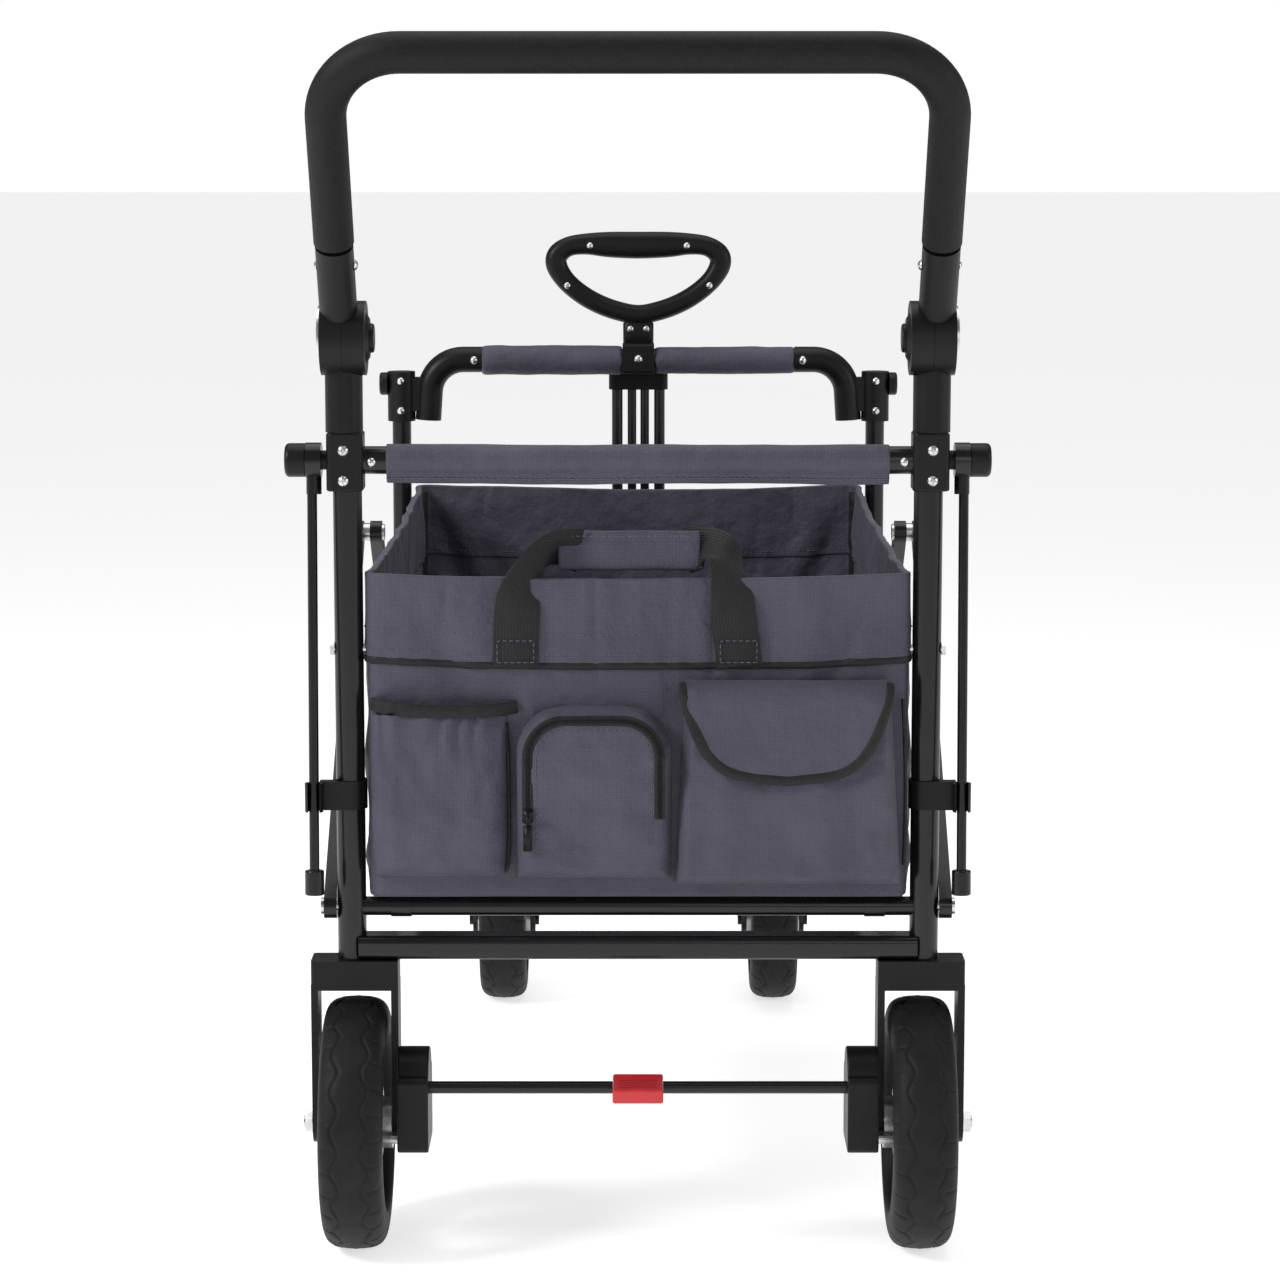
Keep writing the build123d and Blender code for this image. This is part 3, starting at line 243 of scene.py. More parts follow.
def dress_cad():
    """Give each CAD node its finished material."""
    for name, o in nodes.items():
        look = CAD_LOOKS[SLOT_OF[name]]
        if not o.data.materials:
            o.data.materials.append(look)
        for i in range(len(o.material_slots)):
            o.material_slots[i].material = look


# ------------------------------------------------------------------ mesh helpers
def add_object(name, mesh, material, body="rear_frame"):
    o = bpy.data.objects.new(name, mesh)
    bpy.context.scene.collection.objects.link(o)
    if material:
        mesh.materials.append(material)
    for p in mesh.polygons:
        p.use_smooth = True
    if body:
        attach(o, body)
    return o


def apply_modifiers(o):
    dg = bpy.context.evaluated_depsgraph_get()
    mesh = bpy.data.meshes.new_from_object(o.evaluated_get(dg))
    o.modifiers.clear()
    o.data = mesh
    return o


def smoothed(o):
    """One level of subdivision, applied together with the modifiers before it."""
    sub = o.modifiers.new("Subdivision", "SUBSURF")
    sub.levels = sub.render_levels = 1
    return apply_modifiers(o)


def thicken(o, thickness, offset=-1, smooth=True, bevel=0.0):
    """Give a grid the thickness of its cloth, to one side of it or, with offset 0, to both."""
    shell = o.modifiers.new("Solidify", "SOLIDIFY")
    shell.thickness = thickness
    shell.offset = offset
    if bevel:
        shell.use_even_offset = True
        edge = o.modifiers.new("Bevel", "BEVEL")
        edge.width = bevel
        edge.segments = 2
        edge.limit_method = "ANGLE"
    return smoothed(o) if smooth else apply_modifiers(o)


def edited(mesh, weld=False, fill=False, outward=False):
    """Join a mesh's double points, fill its open ends and turn its faces outward, whichever is asked for."""
    bm = bmesh.new()
    bm.from_mesh(mesh)
    if weld:
        bmesh.ops.remove_doubles(bm, verts=bm.verts, dist=1e-6)
    if fill:
        bmesh.ops.holes_fill(bm, edges=[e for e in bm.edges if e.is_boundary])
    if outward:
        bmesh.ops.recalc_face_normals(bm, faces=bm.faces)
    bm.to_mesh(mesh)
    bm.free()
    return mesh


def made(name, bm):
    """Mesh of a finished bmesh."""
    mesh = bpy.data.meshes.new(name)
    bm.to_mesh(mesh)
    bm.free()
    return mesh


def grid(nu, nv, point):
    """Rows of points, point(u, v), over the unit square."""
    return [[point(j / nu, i / nv) for j in range(nu + 1)] for i in range(nv + 1)]


def grid_mesh(name, points, close_u=False):
    """Mesh from a 2D array of points [rows][columns], with metric UVs."""
    rows, cols = len(points), len(points[0])
    verts = [tuple(p) for row in points for p in row]
    faces = []
    for i in range(rows - 1):
        for j in range(cols if close_u else cols - 1):
            k = (j + 1) % cols
            faces.append((i * cols + j, i * cols + k, (i + 1) * cols + k, (i + 1) * cols + j))
    mesh = bpy.data.meshes.new(name)
    mesh.from_pydata(verts, [], faces)
    mid_row = rows // 2
    us, vs = [0.0], [0.0]
    for j in range(1, cols + 1):
        a, b = points[mid_row][j - 1], points[mid_row][j % cols]
        us.append(us[-1] + (Vector(b) - Vector(a)).length)
    for i in range(1, rows):
        vs.append(vs[-1] + (Vector(points[i][cols // 2]) - Vector(points[i - 1][cols // 2])).length)
    layer = mesh.uv_layers.new(name="UVMap")
    n = 0
    for i in range(rows - 1):
        for j in range(cols if close_u else cols - 1):
            for du, dv in ((0, 0), (1, 0), (1, 1), (0, 1)):
                layer.data[n].uv = (us[j + du], vs[i + dv])
                n += 1
    mesh.update()
    return mesh


def cloth(o, rows, held, rests_on, close=False, with_pieces=()):
    """Return the piece unchanged."""
    def length(points):
        return sum((b - a).length for a, b in zip(points, points[1:]))

    return o


def spline(points, count, closed=False):
    """Points spread evenly along a Catmull-Rom curve."""
    pts = [Vector(p) for p in points]
    if closed:
        pts = [pts[-1]] + pts + pts[:2]
    else:
        pts = [pts[0] * 2 - pts[1]] + pts + [pts[-1] * 2 - pts[-2]]
    dense = []
    for a, b, c, d in zip(pts, pts[1:], pts[2:], pts[3:]):
        for i in range(16):
            t = i / 16
            dense.append(0.5 * ((2 * b) + (c - a) * t + (2 * a - 5 * b + 4 * c - d) * t * t
                                + (3 * b - a - 3 * c + d) * t**3))
    if not closed:
        dense.append(pts[-2])
    else:
        dense.append(dense[0])
    lengths = [0.0]
    for p, q in zip(dense, dense[1:]):
        lengths.append(lengths[-1] + (q - p).length)
    out, k = [], 0
    steps = count if closed else count - 1
    for i in range(count):
        want = lengths[-1] * i / steps
        while k < len(dense) - 2 and lengths[k + 1] < want:
            k += 1
        f = (want - lengths[k]) / max(lengths[k + 1] - lengths[k], 1e-9)
        out.append(dense[k].lerp(dense[k + 1], min(max(f, 0), 1)))
    return out


def sweep(name, path, section, ups, material, closed=False):
    """Section points (across, out) swept along a path; ups gives the 'out' direction at each point."""
    n = len(path)
    rows = []
    for i, p in enumerate(path):
        nxt = path[(i + 1) % n] if closed or i < n - 1 else path[i]
        prv = path[i - 1] if closed or i > 0 else path[i]
        t = (nxt - prv).normalized()
        up = Vector(ups[i] if isinstance(ups, list) else ups)
        side = t.cross(up).normalized()
        up = side.cross(t).normalized()
        rows.append([p + side * a + up * b for a, b in section])
    if closed:
        rows.append(rows[0])
    mesh = edited(grid_mesh(name, rows, close_u=True), weld=closed, fill=not closed)
    return add_object(name, mesh, material)


def round_section(r, n=10):
    return [(r * math.cos(2 * math.pi * i / n), r * math.sin(2 * math.pi * i / n)) for i in range(n)]


def flat_section(width, thick):
    """Flat strap with rounded edges."""
    w, t = width / 2, thick / 2
    e = t * 0.7
    return [(-w, -t + e), (-w + e, -t), (0, -t), (w - e, -t), (w, -t + e),
            (w, t - e), (w - e, t), (0, t), (-w + e, t), (-w, t - e)]


def crease(x, y, z, scale, amount, seed=0.0):
    """Soft folds: two octaves of signed noise, in the unit of the amount."""
    v = noise.noise(Vector((x * scale, y * scale, z * scale + seed)))
    w = noise.noise(Vector((x * scale * 2.3 + 7, y * scale * 2.3, z * scale * 2.3 + seed)))
    return amount * (v + 0.45 * w)


def stitches(name, path, normals, length=3.2 * MM, gap=2.2 * MM, lift=0.25 * MM):
    """Row of short raised stitches along a path."""
    bm = bmesh.new()
    dist = 0.0
    total = [0.0]
    for a, b in zip(path, path[1:]):
        total.append(total[-1] + (b - a).length)

    def at(d):
        k = max(0, min(len(total) - 2, int(np.searchsorted(total, d)) - 1))
        f = (d - total[k]) / max(total[k + 1] - total[k], 1e-9)
        return path[k].lerp(path[k + 1], f), normals[k]

    while dist + length < total[-1]:
        a, na = at(dist)
        b, nb = at(dist + length)
        run = (b - a).normalized()
        side = run.cross(na).normalized() * 0.42 * MM
        corners = []
        for p, nrm, k in ((a, na, 0.0), (a.lerp(b, 0.5), na, 1.0), (b, nb, 0.0)):
            top = p + nrm * lift * (0.4 + k)
            low = p - nrm * 0.3 * MM
            corners.append([bm.verts.new(low - side), bm.verts.new(top - side * 0.5),
                            bm.verts.new(top + side * 0.5), bm.verts.new(low + side)])
        for r0, r1 in zip(corners, corners[1:]):
            for i in range(4):
                bm.faces.new((r0[i], r0[(i + 1) % 4], r1[(i + 1) % 4], r1[i]))
        bm.faces.new(corners[0][::-1])
        bm.faces.new(corners[-1])
        dist += length + gap
    bmesh.ops.recalc_face_normals(bm, faces=bm.faces)
    return add_object(name, made(name, bm), M_THREAD)


# ------------------------------------------------------------------ basket
CORNER_R = 12 * MM
STEP = 9 * MM
WALL_T = 2.4 * MM


def perimeter():
    """Points round the basket's wall, starting in the middle of the rear panel, with outward normals."""
    x, y0, y1, r = BASKET_HI.x - WALL_T / 2, BASKET_LO.y + WALL_T / 2, BASKET_HI.y - WALL_T / 2, CORNER_R
    corners = [((x - r, y0 + r), -90), ((x - r, y1 - r), 0), ((-x + r, y1 - r), 90), ((-x + r, y0 + r), 180)]
    pts = [((0, y0), (0, -1))]

    def run(a, b, n):
        length = math.dist(a, b)
        count = max(1, round(length / STEP))
        for i in range(1, count + 1):
            f = i / count
            pts.append(((a[0] + (b[0] - a[0]) * f, a[1] + (b[1] - a[1]) * f), n))

    at = (0, y0)
    normal = (0, -1)
    for (cx, cy), start in corners:
        a = math.radians(start)
        first = (cx + r * math.cos(a), cy + r * math.sin(a))
        run(at, first, normal)
        for i in range(1, 5):
            b = math.radians(start + 90 * i / 4)
            pts.append(((cx + r * math.cos(b), cy + r * math.sin(b)), (math.cos(b), math.sin(b))))
        at = pts[-1][0]
        normal = pts[-1][1]
    run(at, (0, y0), normal)
    pts.pop()
    return pts


class Wall:
    """The basket's wall as a grid that other pieces can be sewn onto."""

    def __init__(self):
        self.ring = perimeter()
        self.rows = max(8, round((RIM_Z - BASKET_LO.z) / STEP))
        z0 = BASKET_LO.z + 1 * MM
        self.z = [z0 + (RIM_Z - 2.5 * MM - z0) * i / self.rows for i in range(self.rows + 1)]
        self.points = [[Vector((p[0], p[1], z)) for p, n in self.ring] for z in self.z]
        self.s = [0.0]
        for (a, _), (b, _) in zip(self.ring, self.ring[1:] + self.ring[:1]):
            self.s.append(self.s[-1] + math.dist(a, b))

    def corner_closeness(self, x, y):
        d = min(abs(abs(x) - BASKET_HI.x), 1)
        e = min(abs(y - BASKET_LO.y), abs(y - BASKET_HI.y))
        return math.hypot(d, e)

    def settle(self):
        """Hang the cloth from its corners and bottom edge, a little slack, and let it fold."""
        mesh = grid_mesh("basket_cloth", self.points, close_u=True)
        o = bpy.data.objects.new("basket_cloth", mesh)
        bpy.context.scene.collection.objects.link(o)
        pins = o.vertex_groups.new(name="pins")
        cols = len(self.ring)
        for i, row in enumerate(self.points):
            for j, p in enumerate(row):
                corner = self.corner_closeness(p.x, p.y)
                w = 0.0
                if i <= 1 or corner < 20 * MM:
                    w = 1.0
                elif i >= self.rows - 1:
                    w = 0.55
                elif abs(p.z - HEM_Z) < STEP * 0.6:
                    w = 0.35
                pins.add([i * cols + j], w, "REPLACE")
        cloth = o.modifiers.new("Cloth", "CLOTH")
        c = cloth.settings
        c.quality = 6
        c.mass = 0.35
        c.tension_stiffness = 25
        c.compression_stiffness = 25
        c.shear_stiffness = 8
        c.bending_stiffness = 0.6
        c.shrink_min = -0.022
        c.vertex_group_mass = "pins"
        c.pin_stiffness = 1.0
        cloth.point_cache.frame_end = 30
        scene = bpy.context.scene
        for f in range(1, 27):
            scene.frame_set(f)
        dg = bpy.context.evaluated_depsgraph_get()
        done = o.evaluated_get(dg).to_mesh()
        for i in range(self.rows + 1):
            for j in range(cols):
                v = done.vertices[i * cols + j].co
                self.points[i][j] = self.keep_near(self.points[i][j], Vector(v), j)
        bpy.data.objects.remove(o)
        scene.frame_set(1)

    def keep_near(self, rest, moved, j):
        """Limit how far the cloth may stand out of or fall into the basket."""
        n = Vector((*self.ring[j][1], 0))
        d = moved - rest
        out = d.dot(n)
        rear = n.y < -0.9
        most = 1.0 * MM if rear and rest.z < HEM_Z - 10 * MM else 6 * MM
        return rest + (d - n * out) + n * max(-10 * MM, min(most, out))

    def fold(self):
        """Extra slackness: soft folds on the side walls, front panel and rim."""
        for i, row in enumerate(self.points):
            t = (self.z[i] - self.z[0]) / (self.z[-1] - self.z[0])
            for j, p in enumerate(row):
                n = Vector((*self.ring[j][1], 0))
                free = min(1.0, self.corner_closeness(p.x, p.y) / (60 * MM)) * min(1.0, t * 5)
                side = abs(n.x) > 0.9
                rear = n.y < -0.9
                amount = (4.5 if side else 3.4) * MM
                if rear:
                    amount = 2.4 * MM if p.z > HEM_Z - 12 * MM else 0.5 * MM
                shift = crease(p.x, p.y, p.z, 9, amount, 3.0) - (1.5 * MM if side else 0)
                sag = 0.0
                if t > 0.75:
                    run = math.sin(math.pi * min(1, self.corner_closeness(p.x, p.y) / 0.36) / 2)
                    sag = (3.5 if side else 1.4) * MM * run * (t - 0.75) / 0.25
                    sag += crease(p.x, p.y, 0, 14, 1.2 * MM, 9) * (t - 0.75) / 0.25
                row[j] = p + n * shift * free - Vector((0, 0, sag * free))

    def normal(self, i, j):
        a = self.points[min(i + 1, self.rows)][j] - self.points[max(i - 1, 0)][j]
        cols = len(self.ring)
        b = self.points[i][(j + 1) % cols] - self.points[i][(j - 1) % cols]
        return b.cross(a).normalized()

    def at(self, u, z, lift=0.0):
        """Point on the wall at perimeter distance u and height z, lifted off along the normal."""
        cols = len(self.ring)
        u %= self.s[-1]
        j = max(0, min(cols - 1, int(np.searchsorted(self.s, u, side="right")) - 1))
        f = (u - self.s[j]) / (self.s[j + 1] - self.s[j])
        i = max(0, min(self.rows - 1, int(np.searchsorted(self.z, z, side="right")) - 1))
        g = (z - self.z[i]) / (self.z[i + 1] - self.z[i])
        a = self.points[i][j].lerp(self.points[i][(j + 1) % cols], f)
        b = self.points[i + 1][j].lerp(self.points[i + 1][(j + 1) % cols], f)
        na = self.normal(i, j).lerp(self.normal(i, (j + 1) % cols), f)
        nb = self.normal(i + 1, j).lerp(self.normal(i + 1, (j + 1) % cols), f)
        n = na.lerp(nb, g).normalized()
        return a.lerp(b, g) + n * lift, n

    def line(self, z, lift, step):
        """Path round the wall at one height, with its normals."""
        count = max(3, int(self.s[-1] / step))
        both = [self.at(self.s[-1] * k / count, z, lift) for k in range(count + 1)]
        return [b[0] for b in both], [b[1] for b in both]


SOFT_FOLD = []


def folds_with_frame(o):
    """Put a soft piece on the list SOFT_FOLD, whose pieces each get a mesh of their own at the end."""
    SOFT_FOLD.append(o)
    return o


def build_basket():
    wall = Wall()
    wall.settle()
    wall.fold()
    shell = add_object("basket_walls", grid_mesh("basket_walls", wall.points, close_u=True), M_FABRIC)
    thicken(shell, WALL_T, 0)
    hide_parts("basket_fabric")
    folds_with_frame(shell)

    first = next(i for i, z in enumerate(wall.z) if z > HEM_Z + 2 * MM)
    hem_rows = [[wall.at(wall.s[j], HEM_Z)[0] for j in range(len(wall.ring))]] + [
        list(r) for r in wall.points[first:]
    ]
    top = [p + Vector((0, 0, 1.6 * MM)) for p in hem_rows[-1]]
    hem = add_object("rim_hem", grid_mesh("rim_hem", hem_rows + [top], close_u=True), M_FABRIC)
    folds_with_frame(thicken(hem, WALL_T + 3.4 * MM, 0, bevel=1.3 * MM))
    cloth(shell, wall.points, "hung", ["rear_post_tubes", "front_post_tubes"], close=True)
    cloth(hem, hem_rows, "folded", ["basket_walls"], close=True)

    path, normals = wall.line(HEM_Z - 1 * MM, 2.0 * MM, step=5 * MM)
    binding = sweep("hem_binding", path[:-1], [(a * 1.7, b * 0.9) for a, b in round_section(2.0 * MM, 8)],
                    normals[:-1], M_BINDING, closed=True)
    folds_with_frame(binding)
    for k, z in enumerate((HEM_Z + 8 * MM, RIM_Z - 47 * MM)):
        path, normals = wall.line(z, WALL_T / 2 + 1.75 * MM, step=3 * MM)
        folds_with_frame(stitches(f"hem_stitches_{k}", path, normals))
    build_corner_seams(wall)
    build_basket_floor()


def build_corner_seams(wall):
    """Black binding tape up the inside of each corner, and a seam line round the inside."""
    marks = [wall.s[j] for j, (p, n) in enumerate(wall.ring) if abs(abs(n[0]) - abs(n[1])) < 0.05]
    n = 24
    for k, u in enumerate(marks):
        path, ups = [], []
        for i in range(n):
            z = BASKET_LO.z + 6 * MM + (RIM_Z - 8 * MM - BASKET_LO.z - 6 * MM) * i / (n - 1)
            p, nn = wall.at(u, z, -(WALL_T / 2 + (2.6 * MM if z > HEM_Z else 1.0 * MM)))
            path.append(p)
            ups.append(-nn)
        tape = sweep(f"corner_tape_{k}", path, flat_section(11 * MM, 1.2 * MM), ups, M_BINDING)
        folds_with_frame(tape)
    path, normals = wall.line(HEM_Z + 6 * MM, -(WALL_T / 2 + 1.8 * MM), step=3 * MM)
    folds_with_frame(stitches("inside_stitches", path, [-n for n in normals]))


def build_basket_floor():
    """Padded floor mat in two hinged halves, quilted by seams, on the basket's bottom sheet."""
    lo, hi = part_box("basket_mat")
    nx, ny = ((40, 66))
    mid = (lo.y + hi.y) / 2

    def quilted(u, v):
        x, y = lo.x + (hi.x - lo.x) * u, lo.y + (hi.y - lo.y) * v
        edge = min(x - lo.x, hi.x - x, y - lo.y, hi.y - y, abs(y - mid) + 2 * MM) / (18 * MM)
        puff = math.sqrt(max(0.0, min(1.0, edge)))
        z = lo.z + (hi.z - lo.z) * (0.35 + 0.62 * puff) + crease(x, y, 0, 12, 0.6 * MM, 4) * puff
        return Vector((x, y, z))

    rows_top = grid(nx, ny, quilted)
    rows_low = [[Vector((p.x, p.y, lo.z)) for p in row] for row in rows_top]
    mesh = closed_slab("floor_mat", rows_low, rows_top)
    o = add_object("floor_mat", mesh, M_MAT)
    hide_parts("basket_mat")
    folds_with_frame(o)
    z0, z1 = BASKET_LO.z + 0.6 * MM, BASKET_LO.z + 2.6 * MM
    inset = 4 * MM
    rows = [[[Vector((x, y, z + crease(x, y, 0, 7, 0.5 * MM)))
              for x in np.linspace(BASKET_LO.x + inset, BASKET_HI.x - inset, 30)]
             for y in np.linspace(BASKET_LO.y + inset, BASKET_HI.y - inset, 46)] for z in (z0, z1)]
    bottom = add_object("basket_bottom", closed_slab("basket_bottom", rows[0], rows[1]), M_FABRIC)
    cloth(bottom, rows[1], "laid", ["rear_floor_frame", "front_floor_frame"])
    folds_with_frame(bottom)


def closed_slab(name, low, top):
    """Closed solid between two equal grids of points."""
    rows, cols = len(top), len(top[0])
    ring_t = ([(0, j) for j in range(cols)] + [(i, cols - 1) for i in range(1, rows)]
              + [(rows - 1, j) for j in range(cols - 2, -1, -1)] + [(i, 0) for i in range(rows - 2, 0, -1)])
    verts = [p for r in top for p in r] + [p for r in low for p in r]
    off = rows * cols
    faces = []
    for i in range(rows - 1):
        for j in range(cols - 1):
            a = i * cols + j
            faces.append((a, a + 1, a + cols + 1, a + cols))
            faces.append((off + a, off + a + cols, off + a + cols + 1, off + a + 1))
    for (i, j), (k, l) in zip(ring_t, ring_t[1:] + ring_t[:1]):
        a, b = i * cols + j, k * cols + l
        faces.append((b, a, off + a, off + b))
    mesh = bpy.data.meshes.new(name)
    mesh.from_pydata([tuple(v) for v in verts], [], faces)
    planar_uv(edited(mesh, outward=True))
    return mesh


def planar_uv(mesh):
    """Metric UVs from each face's main direction."""
    layer = mesh.uv_layers.new(name="UVMap")
    for p in mesh.polygons:
        n = [abs(c) for c in p.normal]
        k = n.index(max(n))
        a, b = [(1, 2), (0, 2), (0, 1)][k]
        for li in p.loop_indices:
            co = mesh.vertices[mesh.loops[li].vertex_index].co
            layer.data[li].uv = (co[a], co[b])


# ------------------------------------------------------------------ pockets on the rear panel
def patch(name, outline, depth, nu, nv):
    """Stuffed patch on the rear panel.

    outline(u, v) gives (x, z), and depth(u, v, x, z) how far it stands out."""
    def front(u, v):
        x, z = outline(u, v)
        return Vector((x, PANEL_Y - depth(u, v, x, z), z))

    top = grid(nu, nv, front)
    low = [[Vector((p.x, PANEL_Y + 0.6 * MM, p.z)) for p in row] for row in top]
    return smoothed(add_object(name, closed_slab(name, low, top), M_FABRIC))


def rise(t, width):
    """Steep rounded step from 0 to 1 over the given width."""
    t = max(0.0, min(1.0, t / width))
    return math.sqrt(1 - (1 - t) ** 2)


def panel_line(points, count, lift):
    """Smooth path over the rear panel through (x, depth, z) points in millimetres."""
    return spline([(x * MM, PANEL_Y - d * MM - lift, z * MM) for x, d, z in points], count)


def tape(name, points, width, thick, count, lift=0.8 * MM):
    """Black binding along a line over the rear panel."""
    path = panel_line(points, count, lift)
    return sweep(name, path, flat_section(width, thick), OUTWARD, M_BINDING)


def build_elastic_pocket():
    """Bag with an elastic top band; its front gathers under the band and hangs full at the bottom."""
    x0, x1, z0, z1 = -220 * MM, -109 * MM, 321 * MM, 458 * MM
    nu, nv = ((54, 56))
    wall_t = 1.6 * MM

    def front(u, v):
        z = z0 + (z1 - z0) * v
        half = (x1 - x0) / 2 * (1 - 0.045 * (1 - v) ** 6)
        x = (x0 + x1) / 2 + (2 * u - 1) * half
        full = 0.45 + 0.55 * math.sin(math.pi * min(1, (1 - v) * 0.62 + 0.12))
        d = max(17.5 * MM * full * rise(min(u, 1 - u), 0.2) * rise(v, 0.12), 0.6 * MM)
        gather = math.sin(u * 38 + 2 * math.sin(u * 9)) * 2.0 * MM * (max(0, v - 0.6) / 0.4) ** 1.3
        slack = crease(x, 0, z, 20, 6.0 * MM, 1.0) + crease(x, 0.3, z * 0.4, 42, 2.6 * MM, 2.0)
        d += (gather + slack) * min(1, d / (8 * MM))
        return Vector((x, PANEL_Y - max(0.6 * MM, min(d, 24 * MM)), z))

    outer = grid(nu, nv, front)
    o = add_object("elastic_pocket", grid_mesh("elastic_pocket", outer), M_FABRIC)
    thicken(o, wall_t, 1)
    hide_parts("pocket_elastic")
    cloth(o, outer, "gathered", ["basket_walls"])
    bottom = [[p.copy() for p in outer[3]], [Vector((p.x, PANEL_Y, p.z - 0.5 * MM)) for p in outer[3]]]
    base = add_object("elastic_pocket_base", grid_mesh("elastic_pocket_base", bottom), M_FABRIC)
    thicken(base, wall_t, smooth=False)
    band = [(-221, 1, 466), (-212, 8, 464), (-190, 13, 462), (-160, 14, 461), (-130, 12, 461),
            (-112, 7, 462), (-100, 1, 463)]
    tape("elastic_band", band, 11 * MM, 2.6 * MM, 80)
    edge = [(-109, 2, 450), (-107.5, 4, 420), (-107, 4, 380), (-107.5, 4, 340), (-110, 2, 324)]
    tape("elastic_pocket_piping", edge, 3.4 * MM, 3.0 * MM, 40)


def arch_outline(x0, x1, z0, z1, r):
    """Rectangle with round top corners, as a map of the unit square."""
    def at(u, v):
        half = (x1 - x0) / 2
        mid = (x0 + x1) / 2
        z = z0 + (z1 - z0) * v
        over = z - (z1 - r)
        w = half
        if over > 0:
            w = half - r + math.sqrt(max(0.0, r * r - over * over))
        return mid + (2 * u - 1) * max(w, 4 * MM), z
    return at


def build_zip_pocket():
    """Pocket with an arched zip: a gusset stands off the panel and the front puffs over it."""
    x0, x1, z0, z1, r = -101 * MM, 28 * MM, 319 * MM, 464 * MM, 40 * MM
    outline = arch_outline(x0, x1, z0, z1, r)

    def depth(u, v, x, z):
        edge = min((x - outline(0, v)[0]), (outline(1, v)[0] - x), (z - z0) * 1.1, (z1 - z)) / (13 * MM)
        step = rise(edge, 1.0)
        slack = crease(x, 0, z, 18, 5.5 * MM, 5) + crease(x * 0.5, 0.1, z, 40, 2.6 * MM, 8)
        belly = 4 * MM * math.sin(math.pi * min(1, max(0, (z1 - z) / (z1 - z0)) * 0.9 + 0.05))
        return 1.0 * MM + step * (19 * MM + belly) + slack * step

    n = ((60, 64))
    o = patch("zip_pocket", outline, depth, *n)
    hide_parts("pocket_zip")

    def on_front(inset, low):
        """Points of the arch, set in from the pocket's edge, on its puffed front."""
        top, rr = z1 - inset, r - inset
        pts = [(x0 + inset, z) for z in np.linspace(low * MM, z1 - r, 8)]
        pts += [(x0 + r - rr * math.cos(a), z1 - r + rr * math.sin(a)) for a in np.linspace(0.2, 1.45, 7)]
        pts += [(x, top) for x in np.linspace(x0 + r + 4 * MM, x1 - r - 4 * MM, 5)]
        pts += [(x1 - r + rr * math.cos(a), z1 - r + rr * math.sin(a)) for a in np.linspace(1.45, 0.2, 7)]
        pts += [(x1 - inset, z) for z in np.linspace(z1 - r, low * MM, 8)]
        return [(x / MM, depth(0, (z - z0) / (z1 - z0), x, z) / MM, z / MM) for x, z in pts]

    arch = on_front(10 * MM, 372)
    tape("zip_tape", arch, 9 * MM, 1.6 * MM, 140, lift=0.6 * MM)
    build_zip_teeth(panel_line(arch, 240, 1.7 * MM))
    x, d, z = arch[0]
    build_zip_pull(Vector((x * MM, PANEL_Y - (d + 2.6) * MM, (z - 3) * MM)))
    path = panel_line(on_front(17 * MM, 352), 120, 0.5 * MM)
    stitches("zip_stitches", path, [OUTWARD] * len(path))


def build_zip_teeth(path):
    bm = bmesh.new()
    for k, (a, b) in enumerate(zip(path, path[1:])):
        t = (b - a).normalized()
        side = t.cross(OUTWARD).normalized()
        c = a + side * (0.8 * MM if k % 2 else -0.8 * MM)
        m = Matrix.Translation(c) @ Matrix((t, side, t.cross(side))).transposed().to_4x4()
        bmesh.ops.create_cube(bm, size=1.0, matrix=m @ Matrix.Diagonal((0.9 * MM, 2.4 * MM, 1.2 * MM, 1)))
    add_object("zip_teeth", made("zip_teeth", bm), M_PLASTIC)


def build_zip_pull(at):
    """Slider and its pull tab."""
    bm = bmesh.new()
    for size, shift in (((9, 3.4, 11), (0, 0, 6)), ((4, 2.2, 7), (0, -2.4, 3)),
                        ((7.5, 1.8, 22), (0, -2.2, -12))):
        m = Matrix.Translation(at + Vector(shift) * MM)
        r = bmesh.ops.create_cube(bm, size=1.0, matrix=m @ Matrix.Diagonal((*[s * MM for s in size], 1)))
        edges = list({e for v in r["verts"] for e in v.link_edges})
        bmesh.ops.bevel(bm, geom=edges, offset=0.7 * MM, segments=3, affect="EDGES")
    add_object("zip_pull", made("zip_pull", bm), M_PLASTIC)


def flap_bottom(u):
    """Height of the flap's lower edge, in millimetres, across its width."""
    t = abs(2 * u - 1)
    return 405 + 8 * t + 62 * t**5


